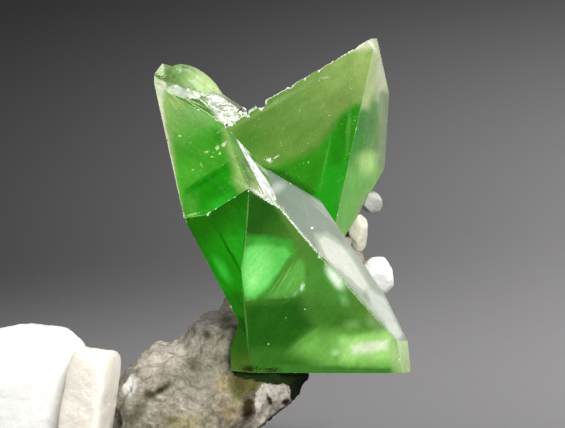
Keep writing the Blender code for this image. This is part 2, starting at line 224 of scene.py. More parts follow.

# ---------------------------------------------------------------- looks

# The colour under each face: two places and their colours, the streaks (turn, length, width, strength),
# then patches laid over them. Over the crystal's green and frost, many patches are painted light: painted
# reflections, glows, glints and highlights, and painted shade, as they show in and on the clear crystal. A
# patch is a flat outline or an oval (middle, half sizes, turn), the width of its soft rim in mm or the share
# of an oval that is rim, its colour, and where it is given how rough its rim is. Places are mm across and up
# the twin's front, and colours are as they show on the stage, from 0 to 255.
FACE_TONES_AND_PAINTED_LIGHT = {
    # upper left face: painted sheen over the milkiness in its hazes, a painted glow in the middle, painted
    # inner reflections in its panes
    "upper_left": (((-7.55, 29.55), (124, 170, 88)), ((-5.6, 26.3), (64, 158, 32)), (-35, 2.2, 0.5, 0.11), (
        ("top haze", ((-7.55, 30), (1.6, 0.75), -25), 0.8, (144, 178, 94)),
        ("grey haze", ((-5.8, 28.85), (1.4, 0.7), -30), 0.9, (124, 176, 98)),
        ("deep spot", ((-4.25, 27.2), (0.65, 0.5), -40), 0.9, (46, 140, 20)),
        ("middle glow", ((-6.65, 24.75), (1.1, 1.55), -60), 0.9, (76, 170, 42)),
        ("lower pane", (
            (-3.75, 25.45), (-5.8, 24.25), (-6.8, 23.55), (-7.35, 22.35), (-6.9, 21.25), (-5.3, 21.6),
            (-2.25, 23.45), (-2.25, 25)), 0.12, (28, 144, 8)),
        ("pane top", ((-5.3, 24.15), (1.7, 0.21), 32), 0.9, (16, 128, 2)),
        ("pane glow", ((-4.25, 22.6), (1.4, 0.55), 32), 0.9, (42, 178, 34)),
        ("pane right", ((-3.1, 23.9), (0.7, 0.65), 0), 0.9, (66, 160, 36)),
        ("pane corner", ((-6.5, 22.35), (0.75, 1), 0), 0.9, (74, 158, 44)),
        ("pane foot", ((-3.9, 22.6), (1.8, 0.08), 31), 0.9, (72, 186, 56)),
        ("frosted side", (
            (-4.3, 27.85), (-3.05, 23.45), (-1.45, 22.75), (-1.45, 27.8)), 0.9, (150, 186, 104)),
        ("left haze", ((-7.45, 21.2), (-6.95, 21.25), (-8.25, 29.85), (-9.4, 31.3)), 0.5, (142, 176, 98)),
        ("left rim", ((-9.8, 31.45), (-7.1, 21.1), (-6.95, 21.1), (-8.85, 31.45)), 0.22, (206, 216, 176)),
        ("left head", ((-8.7, 30.6), (0.5, 1.1), -15), 0.9, (214, 226, 188)),
        ("corner fringe", ((-6.35, 21.75), (0.5, 0.07), 14), 0.6, (150, 205, 110), 1),
    )),
    # left middle face: painted inner reflections in its lit pane, pane light and dark inner line
    "left_mid": (((-4.95, 21.25), (14, 84, 1)), ((-2.95, 22.2), (7, 72, 0)), (-50, 2.5, 0.5, 0.09), (
        ("inner pane", ((-3.1, 17.45), (-2.55, 16.3), (-2.5, 20.3), (-4.6, 20.25)), 0.25, (36, 156, 24)),
        ("pane light", ((-3.1, 19.1), (0.5, 0.85), 60), 0.9, (44, 168, 34)),
        ("inner line", ((-3.75, 19.25), (2.3, 0.13), -61), 0.8, (14, 98, 2)),
    )),
    # left low face: a painted glow low down and a painted inner reflection line
    "left_low": (((-6.05, 21.1), (26, 96, 4)), ((-4.25, 18.7), (28, 134, 12)), (-55, 2.5, 0.5, 0.12), (
        ("low glow", ((-4.2, 17.85), (1.1, 0.4), -58), 0.9, (52, 176, 46)),
        ("inner line", ((-3.75, 19.25), (2.3, 0.13), -61), 0.8, (14, 98, 2)),
        ("dark heel", ((-4.05, 10.4), (-2.15, 10.4), (-2.3, 16.45), (-4.55, 16.15)), 0.8, (28, 104, 9)),
        ("dark neck", ((-3.55, 12.2), (-2.15, 12.2), (-2.15, 14.6), (-3.55, 14.6)), 0.6, (18, 76, 6)),
    )),
    # right front face, nearly all painted light: a painted glow in the window, painted light in the lit band
    # and its streaks, painted glints, halos, ridge light, lower light and highlight, and painted shade in its
    # dark floor, dark hollow and low shade
    "right_front": (((-1.45, 21.95), (32, 95, 7)), ((1.65, 18.8), (82, 138, 46)), (52, 2.4, 0.4, 0.08), (
        ("ridge side", ((1.5, 18.8), (2.5, 18.8), (-0.05, 22.15), (-0.45, 22.2)), 0.45, (86, 136, 50)),
        ("window edge", (
            (-2.9, 18), (-2.75, 15.9), (-1.85, 15.6), (-0.65, 16.55), (0.8, 18.85), (0.9, 19.3),
            (0.55, 19.95), (-1.45, 20.3), (-2.6, 20.2)), 0.55, (64, 170, 50)),
        ("window", (
            (-2.85, 17.85), (-2.7, 16.05), (-2, 15.8), (-0.9, 16.85), (0.6, 18.95), (0.25, 19.45),
            (-1.45, 19.6), (-2.5, 19.45)), 0.4, (104, 218, 92)),
        ("window heart", ((-1.65, 18), (1.05, 1.6), -14), 0.8, (142, 250, 130)),
        ("window core", ((-2.05, 17.2), (0.5, 0.9), -14), 0.9, (160, 255, 142)),
        ("lit band", (
            (-0.45, 16.85), (-1.45, 15.75), (0.55, 15.7), (1.6, 16.4), (1.65, 18.4),
            (0.95, 18.7)), 0.4, (99, 178, 72)),
        ("dark fold", ((-0.15, 17.35), (2.4, 0.25), -121), 0.8, (78, 150, 48)),
        ("streak a", ((0.15, 17.35), (1.3, 0.06), 60), 0.9, (124, 200, 96)),
        ("streak b", ((0.65, 17.05), (1.1, 0.05), 60), 0.9, (122, 196, 94)),
        ("streak c", ((-0.45, 16.85), (1.1, 0.04), 56), 0.9, (112, 190, 84)),
        ("glint", ((1.4, 16.65), (0.15, 0.28), -15), 0.6, (206, 244, 200), 0.9),
        ("glint low", ((0.9, 16.15), (0.11, 0.29), -30), 0.9, (150, 208, 138), 1),
        ("right field", (
            (1.95, 15.55), (4.45, 15.55), (4.6, 16.4), (2.5, 18.8), (1.5, 19.4)), 0.7, (76, 142, 46)),
        ("light halo", ((3.8, 17.2), (1.2, 0.55), -55), 0.9, (134, 208, 116)),
        ("light tail", ((4.35, 15.7), (0.55, 0.35), -70), 0.9, (112, 178, 94)),
        ("ridge light", ((3.7, 17.3), (1, 0.4), -54), 0.8, (240, 255, 234)),
        ("dark floor", (
            (-2.7, 12.05), (0.65, 12), (2.25, 13.85), (1.25, 15.8), (-2.8, 15.45)), 1.2, (32, 98, 8)),
        ("floor edge", ((-0.45, 15.65), (2, 0.18), 4), 0.9, (54, 120, 24)),
        ("dark hollow", ((3.35, 14.55), (1.8, 1.05), -20), 0.9, (60, 122, 32)),
        ("lower light", (
            (9.3, 10.15), (8.1, 13.5), (2.25, 13.25), (0.55, 11.85), (-0.2, 10.3)), 1.4, (120, 190, 82)),
        ("low shade", ((0.55, 11.2), (2.8, 1.05), -14), 0.95, (50, 112, 20)),
        ("streak d", ((1.7, 13), (1.2, 0.21), -142), 0.9, (98, 170, 68)),
        ("upper blob", ((4.95, 13.9), (0.65, 0.4), 0), 0.9, (112, 168, 80)),
        ("edge tone", ((5.95, 14.1), (7.85, 12.55), (8.4, 13.05), (6.1, 15.65)), 0.5, (122, 164, 92)),
        ("highlight halo", ((4.25, 11.3), (8.45, 11.25), (7.85, 13.5), (4.1, 12.95)), 0.8, (174, 234, 128)),
        ("highlight", (
            (5.05, 11.85), (6.25, 11.85), (7.55, 12.05), (7.55, 12.75), (6.25, 12.7),
            (4.9, 12.45)), 0.55, (236, 255, 212)),
        ("small light", ((3.8, 11.95), (0.4, 0.28), 0), 0.9, (176, 226, 148)),
        ("bottom strip", ((-2.3, 9.9), (7.85, 9.75), (7.85, 10.75), (-2.3, 11.2)), 0.35, (66, 130, 38)),
        ("near corner", ((-1.3, 11.3), (1.1, 0.5), 0), 0.9, (56, 122, 26)),
        ("foot face", ((-4.25, 10.25), (-2.3, 10.2), (-2.5, 13.6), (-4.25, 13.65)), 0.35, (40, 100, 14)),
        ("foot low", ((-3.3, 10.95), (0.85, 0.4), 0), 0.8, (80, 116, 38)),
        ("far corner", ((8.5, 11.75), (0.75, 1.55), 0), 0.9, (184, 206, 144)),
    )),
    # band face: all of it is painted reflection of the lights, with a painted highlight in the band light and
    # its halo, and painted shade in the upper and ridge shades
    "band": (((0.4, 23.2), (112, 142, 108)), ((4.1, 19.9), (142, 160, 136)), (-38, 3, 0.4, 0.06), (
        ("upper strip", (
            (2.55, 22.35), (4.35, 20.65), (5.1, 20.9), (4.55, 22.35), (1.25, 23.95)), 0.35, (166, 181, 157)),
        ("strip line", ((3, 21.8), (1.7, 0.06), -41), 0.9, (182, 194, 172)),
        ("pane line", ((1.75, 21.8), (1.1, 0.05), -76), 0.9, (150, 168, 145)),
        ("upper shade", ((1.2, 23.55), (2.9, 0.11), -29), 0.8, (88, 128, 84)),
        ("pale root", ((-0.45, 23.6), (0.4, 0.75), -60), 0.9, (196, 214, 196)),
        ("far grey", (
            (4.45, 19.05), (6.4, 16.35), (8.05, 15.55), (6.65, 18.3), (4.5, 21.05)), 0.5, (172, 182, 163)),
        ("light halo", (
            (2.8, 18.4), (4.35, 17.1), (5.65, 16.1), (6.55, 16.3), (4.85, 19.2), (3.25, 20.5),
            (2.25, 20.35)), 0.4, (196, 214, 178)),
        ("band light", (
            (3.15, 18.6), (4.5, 17.45), (5.7, 16.35), (6.2, 16.55), (5.4, 17.9), (4.55, 19.15), (3.3, 20.1),
            (2.9, 20.2), (2.6, 19.95)), 0.2, (250, 255, 240)),
        ("ridge shade", ((6.3, 15.15), (2.6, 0.18), -50), 0.8, (180, 202, 164)),
        ("lower band", (
            (6.4, 15.2), (8.15, 12.9), (8.6, 13.15), (7.3, 15.85), (5.85, 16.65)), 0.45, (230, 240, 224)),
        ("lower tip", ((8, 13.45), (0.85, 0.4), -58), 0.8, (240, 252, 232)),
    )),
    # glare face: painted glare in the white flare and its shade, over brown frost and a sugary corner
    "glare": (((-3.25, 26.85), (92, 152, 60)), ((-1.45, 23.05), (116, 160, 82)), (-50, 0.8, 0.25, 0.3), (
        ("brown frost", ((-1.9, 23.75), (0.65, 0.35), -45), 0.9, (160, 182, 120), 0.8),
        ("white flare", (
            (-3.6, 27.7), (-1.3, 23.25), (-0.75, 22.75), (-0.45, 22.75), (-0.25, 23.35), (-0.9, 24.8),
            (-1.85, 25.85), (-3, 26.85)), 0.18, (246, 251, 246), 0.5),
        ("flare shade", ((-1.25, 24.8), (0.8, 0.11), -45), 0.9, (176, 204, 172), 0.6),
        ("flare line", ((-2.3, 24.75), (2.3, 0.05), -58), 0.6, (150, 160, 112), 0.8),
        ("sugar corner", ((-1.15, 22.9), (0.85, 0.28), -38), 0.7, (238, 234, 216), 1.2),
    )),
    "top_bevel": (((-7.6, 31.35), (150, 188, 114)), ((-4, 29), (206, 220, 190)), (-35, 0.6, 0.25, 0.22), (
        ("left corner", ((-9.55, 30.85), (-8.15, 29.7), (-8.6, 33), (-9.65, 33)), 0.55, (238, 248, 208), 0.5),
        ("green glass", ((-7.75, 31.7), (0.65, 0.65), 0), 0.9, (146, 182, 106)),
        ("under break", (
            (-8.1, 29.85), (-4.8, 27.95), (-3.95, 27.8), (-4.95, 29), (-5.7, 30.25),
            (-7.85, 30.45)), 0.4, (92, 152, 62)),
        ("break band", (
            (-8.1, 30.35), (-7, 30.05), (-5.85, 29.85), (-6, 30.55), (-7.15, 31.2),
            (-8.25, 30.75)), 0.25, (230, 243, 220), 1),
        ("crust", (
            (-4.85, 29), (-3.85, 27.95), (-2.45, 28.85), (-2.45, 29.75), (-4.75, 30.25),
            (-5.45, 30.45)), 0.25, (232, 240, 220), 0.9),
        ("crust shade", ((-4, 29.3), (0.75, 0.28), -10), 0.9, (190, 198, 168), 1.2),
        ("crust shade low", ((-3.3, 28.95), (0.5, 0.21), 20), 0.9, (196, 200, 166), 1.2),
    )),
    "crest": (((-7.45, 31.7), (150, 190, 112)), ((-3.35, 28.75), (210, 220, 188)), (0, 0.6, 0.3, 0.25), ()),
    "crest_low": (
        ((-5.1, 30.25), (212, 224, 190)), ((-2.8, 29.35), (196, 206, 172)), (-20, 0.5, 0.25, 0.35), ()),
    "right_end": (((8.65, 12.35), (204, 219, 180)), ((8.9, 10.7), (184, 198, 146)), (90, 2, 0.5, 0.08), ()),
    # right individual's front: a painted sheen of reflected light in its olive and tan haze and along its
    # edge, painted light in the upper light and the bright root, and painted inner reflections in its clear
    # panes
    "front": (((4.6, 32.8), (146, 178, 94)), ((0.25, 27.8), (108, 154, 62)), (28, 2.4, 0.5, 0.07), (
        ("left green", ((-2.35, 26.9), (1.2, 1), -30), 0.9, (86, 144, 46)),
        ("olive", ((1.4, 29.1), (1.7, 0.9), 20), 0.9, (120, 160, 76)),
        ("tan veil", ((3.7, 29.95), (1.4, 0.65), 25), 0.9, (130, 160, 80)),
        ("upper light", ((5.65, 32.85), (0.75, 1.4), 0), 0.9, (162, 192, 106)),
        ("clear half", (
            (3.45, 21.8), (4.55, 21.65), (3.55, 26.4), (2.25, 26.3), (0.4, 25.65),
            (-1.45, 24.6)), 1, (48, 146, 14)),
        ("clear arm", (
            (2.55, 21.65), (4.6, 21.65), (5.95, 29.95), (5.05, 29.75), (3.85, 28.45),
            (2.4, 26.55)), 0.9, (46, 148, 16)),
        ("bright root", (
            (4.45, 21.2), (4.65, 26.3), (3.7, 26.25), (2.75, 24.8), (2.1, 21.65)), 0.5, (36, 168, 20)),
        ("deep root", ((1.4, 23.7), (1, 0.4), -40), 0.9, (42, 124, 8)),
        ("dark pane", (
            (3.45, 25.25), (4.15, 25.25), (4.9, 26.45), (5.05, 29.2), (4.4, 28.9),
            (3.5, 27)), 0.7, (32, 134, 6)),
        ("pale line", ((3.05, 25.25), (2.2, 0.09), -101), 0.8, (76, 168, 52)),
        ("arm edge", ((4.8, 28.1), (1.8, 0.18), -94), 0.9, (84, 158, 56)),
        ("corner green", ((4.6, 22.8), (0.55, 1.1), 0), 0.9, (96, 170, 66)),
        ("dark root", (
            (-0.45, 24.15), (1.85, 22.85), (2.25, 23.3), (0.1, 24.8), (-1.45, 25.2)), 0.35, (32, 110, 8)),
        ("edge veil", ((0.5, 30.3), (5.1, 0.18), 31), 0.9, (140, 178, 104)),
        ("pale tip", ((6.05, 34.2), (1, 0.55), 20), 0.8, (216, 226, 186)),
    )),
    # right individual's side: painted light in the side light, and a painted sheen in its pale head and rims
    "side": (((6.85, 31.6), (186, 198, 152)), ((5.55, 23.55), (118, 182, 82)), (80, 3, 0.6, 0.08), (
        ("pale head", ((7.1, 32.35), (0.65, 1.95), 8), 0.8, (204, 211, 180)),
        ("middle", ((4.6, 26.4), (7.4, 26.4), (7.25, 30.05), (5, 30)), 0.7, (106, 154, 80)),
        ("near edge", ((5.85, 25), (6.7, 30.45), (4.55, 30.25), (3.4, 24.95)), 1, (50, 142, 24)),
        ("head edge", ((6.05, 34.4), (5, 29.3), (6.35, 29.4), (7, 33.05)), 0.6, (180, 198, 136)),
        ("dark heart", ((6.4, 28.4), (0.55, 1.2), 0), 0.9, (78, 132, 60)),
        ("side light", ((6.15, 25.45), (0.85, 1), 0), 0.9, (186, 232, 136)),
        ("low side", ((4.7, 23.4), (1.05, 2.4), -12), 0.8, (112, 190, 78)),
        ("side rim", ((7.15, 25.2), (8.05, 25.1), (8.2, 30.85), (7.25, 30.75)), 0.6, (132, 152, 116)),
        ("low rim", ((6.15, 22.45), (0.55, 1.1), -40), 0.9, (150, 170, 124)),
    )),
    "foot_left": (((-3.3, 12.55), (44, 100, 16)), ((-3.3, 10.9), (84, 118, 42)), (0, 1, 1, 0.1), ()),
}
# The rounded lobe, with painted shading that lightens across it and painted highlights at its top and its end
LOBE_TONES_AND_PAINTED_LIGHT = (((-7.4, 31.55), (150, 196, 114)), ((-5.4, 30.95), (206, 236, 160)), (30, 1.5, 0.4, 0.1), (
    ("lobe top", ((-6.55, 32.1), (1, 0.28), -12), 0.9, (196, 220, 170)),
    ("lobe foot", ((-6.55, 30.95), (0.7, 0.35), -20), 0.9, (170, 212, 134)),
    ("lobe end", ((-4.7, 30), (0.5, 0.5), 0), 0.9, (214, 228, 186)),
))
# Worn edges, scratches and chips over all the faces at the front, with painted light along some edges and
# painted shade among the dark crumbs at the foot
MARKS_AND_PAINTED_LIGHT = (
    ("roof edge low", ((-2.7, 28.75), (1.6, 0.06), 34), 0.5, (226, 236, 216), 1.6),
    ("roof edge mid", ((0.05, 30.65), (2.6, 0.08), 32), 0.5, (240, 246, 236), 1.4),
    ("roof edge high", ((3.3, 32.65), (2.6, 0.07), 30), 0.5, (226, 236, 214), 1.6),
    ("tip edge", ((5.55, 34.1), (0.9, 0.22), 37), 0.8, (236, 243, 224), 0.8),
    ("tip end", ((6.5, 34.1), (0.7, 0.13), -50), 0.7, (226, 232, 210), 1),
    ("ridge dots", ((1.25, 20.5), (2.5, 0.07), -50), 0.5, (230, 240, 226), 2.2),
    ("ridge low", ((5.4, 15.75), (4.5, 0.04), -48), 0.7, (176, 208, 160), 1.6),
    ("sugar edge", ((-1.3, 22.95), (1.3, 0.13), -32), 0.7, (236, 234, 216), 1.7),
    ("frost edge", ((-3.05, 25.45), (2.1, 0.12), -69), 0.9, (100, 146, 66), 0.8),
    # the green edge lines below are partly wear and partly painted light along the edges
    ("middle edge", ((-2.45, 21.8), (1.7, 0.06), -94), 0.9, (92, 162, 70), 0.6),
    ("window side", ((-2.7, 18.35), (2.1, 0.05), -94), 0.9, (110, 200, 92), 0.6),
    ("lower edge", ((-2.55, 13.9), (2.8, 0.06), -85), 0.9, (84, 150, 62), 0.8),
    ("left edge", ((-8, 26.2), (5.2, 0.06), -77), 0.6, (218, 226, 192), 0.9),
    ("low left edge", ((-5.1, 18), (4.2, 0.04), -62), 0.9, (84, 160, 62), 1.4),
    ("mid edge", ((-6, 21.65), (0.8, 0.05), 5), 0.9, (110, 180, 84), 1.2),
    ("scratch a", ((-7.7, 30.1), (1.1, 0.04), -46), 0.8, (180, 206, 146), 1.2),
    ("scratch b", ((-6.75, 29.9), (1.4, 0.05), -23), 0.8, (176, 204, 140), 1.3),
    ("scratch c", ((-5.55, 29.05), (1.8, 0.04), -33), 0.8, (168, 200, 134), 1.2),
    ("scratch d", ((-5.55, 29.65), (0.6, 0.06), -43), 0.8, (214, 226, 196), 1),
    ("scratch e", ((-7.75, 29.55), (0.7, 0.04), -56), 0.8, (176, 202, 146), 1.2),
    ("chip a", ((-5.3, 26.15), (0.14, 0.07), 10), 0.8, (206, 230, 160), 1.6),
    ("chip b", ((-4.6, 26.4), (0.1, 0.15), -20), 0.8, (226, 240, 196), 1.8),
    ("chip c", ((-4.1, 26.7), (0.09, 0.17), -40), 0.8, (230, 242, 204), 1.8),
    ("chip d", ((-4.95, 25.8), (0.08, 0.07), 0), 0.8, (196, 222, 140), 1.6),
    ("chip e", ((-4.4, 26.05), (0.07, 0.1), 0), 0.8, (206, 226, 160), 1.6),
    ("chip f", ((-5.7, 25.25), (0.07, 0.13), 20), 0.8, (170, 206, 110), 1.6),
    ("chip g", ((-6.3, 24.9), (0.1, 0.06), 30), 0.8, (176, 206, 116), 1.6),
    ("chip h", ((-7.25, 27.3), (0.1, 0.07), 0), 0.8, (196, 220, 140), 1.6),
    ("chip i", ((-0.95, 25.6), (0.18, 0.11), -30), 0.7, (248, 250, 240), 2.4),
    ("chip j", ((-0.45, 25.85), (0.24, 0.05), 35), 0.5, (214, 222, 186), 1),
    ("chip k", ((2.1, 20.8), (0.1, 0.08), 0), 0.6, (255, 255, 250), 0.3),
    ("chip l", ((2.6, 18.75), (0.13, 0.1), -30), 0.6, (226, 250, 206), 0.5),
    ("chip m", ((1.6, 15.05), (0.08, 0.06), 0), 0.6, (214, 236, 214), 0.3),
    ("chip n", ((-1, 12.6), (0.06, 0.06), 0), 0.6, (220, 236, 220), 0.3),
    ("chip o", ((0.25, 14.45), (0.07, 0.06), 0), 0.6, (140, 190, 120), 0.4),
    ("chip p", ((0.25, 15.95), (0.15, 0.05), 10), 0.7, (140, 170, 90), 0.8),
    ("chip q", ((-2.4, 15.8), (0.18, 0.11), 0), 0.9, (120, 170, 92), 0.8),
    ("chip r", ((1.55, 31.55), (0.18, 0.1), -60), 0.6, (246, 250, 242), 0.9),
    ("chip s", ((0.55, 30.85), (0.24, 0.11), 20), 0.6, (240, 246, 234), 0.9),
    ("chip t", ((3.05, 31.6), (0.35, 0.09), 10), 0.9, (166, 190, 124), 0.8),
    # dark crumbs at the foot, with painted shade where the twin meets the rock
    ("chip u", ((-2.3, 10.85), (0.65, 0.22), 0), 0.6, (44, 58, 12), 1.6),
    ("chip v", ((-0.75, 10.75), (0.55, 0.2), 0), 0.6, (34, 58, 12), 1.6),
)
# Stains on the front of the rock, with painted shade in its creases, pits and the patches named shade
ROCK_STAINS_AND_SHADE = (
    ("pale shoulder", ((-8.6, 11.65), (2.4, 1.25), 20), 0.9, (224, 215, 199), 0.5),
    ("high slope", ((-5.45, 15.1), (2.5, 1.55), 48), 0.9, (152, 145, 138), 0.4),
    ("grey slope", ((-5.35, 10.35), (1.4, 1.7), 0), 0.9, (160, 155, 138), 0.5),
    ("dark spot", ((-5.45, 13.05), (0.4, 0.35), 0), 0.8, (88, 84, 66), 0.4),
    ("grey shade", ((-4.05, 14.05), (0.65, 0.7), 0), 0.9, (112, 112, 94), 0.4),
    ("pale cheek", ((-4.3, 12.35), (0.65, 0.65), 0), 0.9, (184, 176, 156), 0.4),
    # painted shade in the crease and in the dark pit below it
    ("crease", ((-8.55, 9.4), (1.05, 0.3), 30), 0.8, (62, 56, 42), 0.4),
    ("dark pit", ((-9.4, 9.05), (0.55, 0.4), 0), 0.8, (58, 52, 38), 0.4),
    ("dark side", ((-10.15, 7.95), (1.4, 0.55), 62), 0.9, (112, 106, 86), 0.5),
    ("shade", ((-6.2, 11.05), (0.75, 0.55), -30), 0.9, (124, 122, 102), 0.5),
    ("tan stain", ((-4.25, 9.75), (0.55, 0.85), 0), 0.7, (190, 174, 132), 0.5),
    ("tan low", ((-3.75, 7.9), (1, 0.9), 0), 0.9, (162, 145, 110), 0.6),
    ("olive stain", ((-3.25, 9.45), (0.65, 1.05), 0), 0.9, (122, 116, 66), 0.5),
    ("gold specks", ((-6.8, 7.15), (1.7, 0.65), 0), 0.9, (164, 156, 118), 1),
    ("gold", ((-7.8, 7.3), (0.28, 0.28), 0), 0.9, (138, 130, 70), 0.8),
    ("olive", ((-3.45, 8.75), (-1.85, 9.05), (-1.3, 9.9), (-1.3, 11.2), (-3.6, 11.2)), 0.9, (98, 96, 48)),
    # a dark green band under the twin
    ("moss", (
        (-3.45, 10.35), (-1.75, 9.85), (0.55, 9.6), (2.4, 10.1), (2.55, 11.2),
        (-3.75, 11.2)), 0.7, (24, 46, 2), 0.5),
    # a brown stain, with painted shade in the pit
    ("brown pit", ((-2.4, 8.15), (0.55, 1), -10), 0.6, (54, 38, 12), 0.4),
    ("white block", (
        (-1.9, 7.45), (-1.6, 6.8), (-0.25, 7.75), (0.6, 8.75), (0.1, 9.6), (-1.45, 9.85),
        (-1.95, 9.1)), 0.4, (206, 198, 186), 0.4),
    # painted shade in the block's crease and pit
    ("block crease", ((-0.9, 8.6), (0.17, 0.55), 20), 0.7, (70, 58, 46), 0.5),
    ("block pit", ((0.2, 8.45), (0.35, 0.28), 0), 0.7, (40, 28, 18), 0.5),
    ("dark corner", ((0.7, 8.6), (1.4, 8.45), (2.2, 9.2), (2.45, 10.35), (0.3, 9.75)), 0.5, (10, 16, 2), 0.5),
    ("dark rim", ((-0.3, 7.35), (2.2, 0.35), -146), 0.7, (40, 37, 25), 0.6),
)
# How strongly the stage lights each face; its display colours are divided by this
FACE_LIGHT = {
    "upper_left": 0.94, "left_mid": 1.0, "left_low": 0.66, "right_front": 1.02, "band": 1.78, "glare": 1.12,
    "top_bevel": 1.5, "crest": 1.5, "crest_low": 1.5, "right_end": 0.85, "front": 1.22, "side": 1.04,
    "foot_left": 0.75, "lobe": 1.42, "marks": 1.0, "rock": 1.36,
}
FACE_NORMALS = {
    **{name: facet[:3] for name, facet in MAIN_FACETS.items()},
    "front": RIGHT_FACETS["front"][:3],
    "side": RIGHT_FACETS["side"][:3],
    "foot_left": FOOT_FACETS["left_front"][:3],
}
LOBE = ((-6.2, 5.6, 29.95), (2.75, 1.55, 1.65), (0, 43, 0))  # the rounded lobe: centre, radii, turn
WHITE_GRAIN = ((-10.9, 0.3, 9.8), (0.75, 2.4, 1.0))          # a white grain in the rock: centre, radii
TWIN_FRONT, ROCK_FRONT = (0.1, -0.95, 0.3), (0.1, -0.95, 0.25)  # the way that marks and stains face
NARROW, MIDDLING, OVAL_MIDDLING = 0.2, 0.5, 0.7              # rims under these sway least, and a little more
TWIN_SWAYS = ((0.03, 0.3), (0.12, 0.9), (0.30, 1.6))         # sway of the rims and size of its noise, in mm
ROCK_SWAYS = ((0.10, 0.5), (0.18, 0.9), (0.30, 1.6))
LOW_GREEN, HIGH_GREEN = (56, 126, 36), (170, 204, 140)       # the twin's other faces, low down and high up
LOW_FROST, HIGH_FROST, WHITE_FROST = (120, 176, 92), (206, 222, 190), (248, 252, 243)
GREEN_RISE, FROST_RISE, DUST_RISE = (14.0, 31.0), (15.0, 25.0), (20.0, 26.0)  # heights in mm where each grows
DEPTH_GREEN = (0.30, 0.86, 0.10)                             # what the crystal lets through with depth
DUST, DUST_SHARE, DUST_MILK = (0.75, 0.9, 0.6), 0.55, 0.98   # dust's colour, and how much it hides
MILK_SWING = 0.08                                            # how far the milkiness strays from its setting
ROCK_TONES = (
    (0.30, (128, 122, 104)), (0.45, (158, 151, 134)), (0.58, (178, 171, 154)), (0.72, (214, 207, 192)))
ROCK_SPECK, GRAIN_WHITE = (236, 230, 216), (252, 250, 244)
CARD_TONES = ((0.70, 0.69, 0.69), (0.74, 0.73, 0.73))
BLACK = (0.0, 0.0, 0.0)
STREAK_GAIN = 6.0                                            # darkness of a face's streaks for their strength
NOISE_ASIDE = (0.3, 0.2, 0.1)                                # m from one noise to another that is unlike it

# ---------------------------------------------------------------- stage

# Soft square lights: place and aim in mm, side in mm, glow, colour, spread in degrees, the group of pieces
# that each lights and the group that shades it
LIGHTS = (
    ("front_soft", (60, -210, 130), (0, 3, 17), 130, 2.6, (1, 1, 0.98), 70, "specimen", None),
    ("band_glow", (110, 92, 68), (0, 3, 17), 80, 0.8, (1, 1, 1), 90, "specimen", None),
    ("top_glow", (-125, -10, 270), (-4, 3, 17), 130, 8.0, (1, 0.99, 0.97), 180, "specimen", None),
    ("glare_glow", (150, -12, 217), (0, 3, 20), 100, 10.0, (1, 1, 0.99), 180, "specimen", None),
    ("floor_glow", (119, -339, 406), (304, 152, 0), 120, 19.6, (1, 0.985, 0.99), 60.3, None, "solid"),
    ("floor_fill", (-105, 54, 70), (211, 12, 0), 60, 2.1, (1, 0.985, 0.99), 77.2, "floor", "floor"),
)
ROOM_COLOUR, ROOM_GLOW = (0.95, 0.95, 1.0, 1.0), 0.034
FLOOR_HALF, FLOOR_POINTS = 1800.0, 25           # mm from the middle to the floor's edge, and points along it
AIM_HEIGHT, SENSOR_WIDTH, CLIP_START = 22.0, 36.0, 0.001  # mm, mm and m


# ---------------------------------------------------------------- settings

class TwinSettings(PropertyGroup):
    edge: FloatProperty(name="Edge", description="Width of the worn line along each edge, in mm",
                        default=0.045, min=0.0, max=0.3)
    chip: FloatProperty(name="Chip size", description="Size of the broken chips against the real ones",
                        subtype="FACTOR", default=1.0, min=0.1, max=2.0)
    ior: FloatProperty(name="IOR", description="Refractive index of the crystal",
                       default=1.80, min=1.3, max=2.2)
    density: FloatProperty(name="Absorption", description="Absorption density per metre",
                           default=420.0, min=0.0, max=5000.0)
    milk: FloatProperty(name="Milkiness", description="Share of the surface that is milky and not clear",
                        subtype="FACTOR", default=0.82, min=0.0, max=1.0)
    body: FloatVectorProperty(name="Body colour", description="Colour that the crystal lets through",
                              subtype="COLOR", default=(0.42, 0.93, 0.22), min=0.0, max=1.0)


class RockSettings(PropertyGroup):
    voxel: FloatProperty(name="Grain mesh", description="Size of the rock's mesh faces, in mm",
                         default=0.18, min=0.08, max=0.6)
    rough: FloatProperty(name="Roughness", description="Depth of the broken surface, in mm",
                         default=0.28, min=0.0, max=1.0)


class FeldsparSettings(PropertyGroup):
    steps: IntProperty(name="Steps", description="Mesh steps round a crystal", default=220, min=24, max=400)
    etch: FloatProperty(name="Etch", description="Depth of the etched faces, in mm",
                        default=0.05, min=0.0, max=0.5)


class StageSettings(PropertyGroup):
    pitch: FloatProperty(name="Pitch", description="Downward tilt of the camera",
                         subtype="ANGLE", default=TILT)
    distance: FloatProperty(name="Distance", description="Distance of the camera from the twin",
                            subtype="DISTANCE", unit="LENGTH", default=0.220, min=0.05)
    lens: FloatProperty(name="Lens", description="Focal length in mm", default=200.0, min=20.0)


# Each group of settings with the operators that its box in the panel shows
GROUPS = {
    "twin": (TwinSettings, ("titanite",)),
    "rock": (RockSettings, ("rock",)),
    "feldspar": (FeldsparSettings, ("feldspar", "beads")),
    "stage": (StageSettings, ("stage",)),
}


# ---------------------------------------------------------------- meshes

def at(place):
    """A place in mm from the rock's own zero, as mm in the shared frame."""
    return HOME + np.array(place)


def box_of(node):
    """The low and the high corner of a CAD node, in mm."""
    return [np.array(corner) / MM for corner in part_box(node)]


def unit(vectors):
    """Vectors at length 1."""
    return vectors / np.linalg.norm(vectors, axis=-1, keepdims=True)


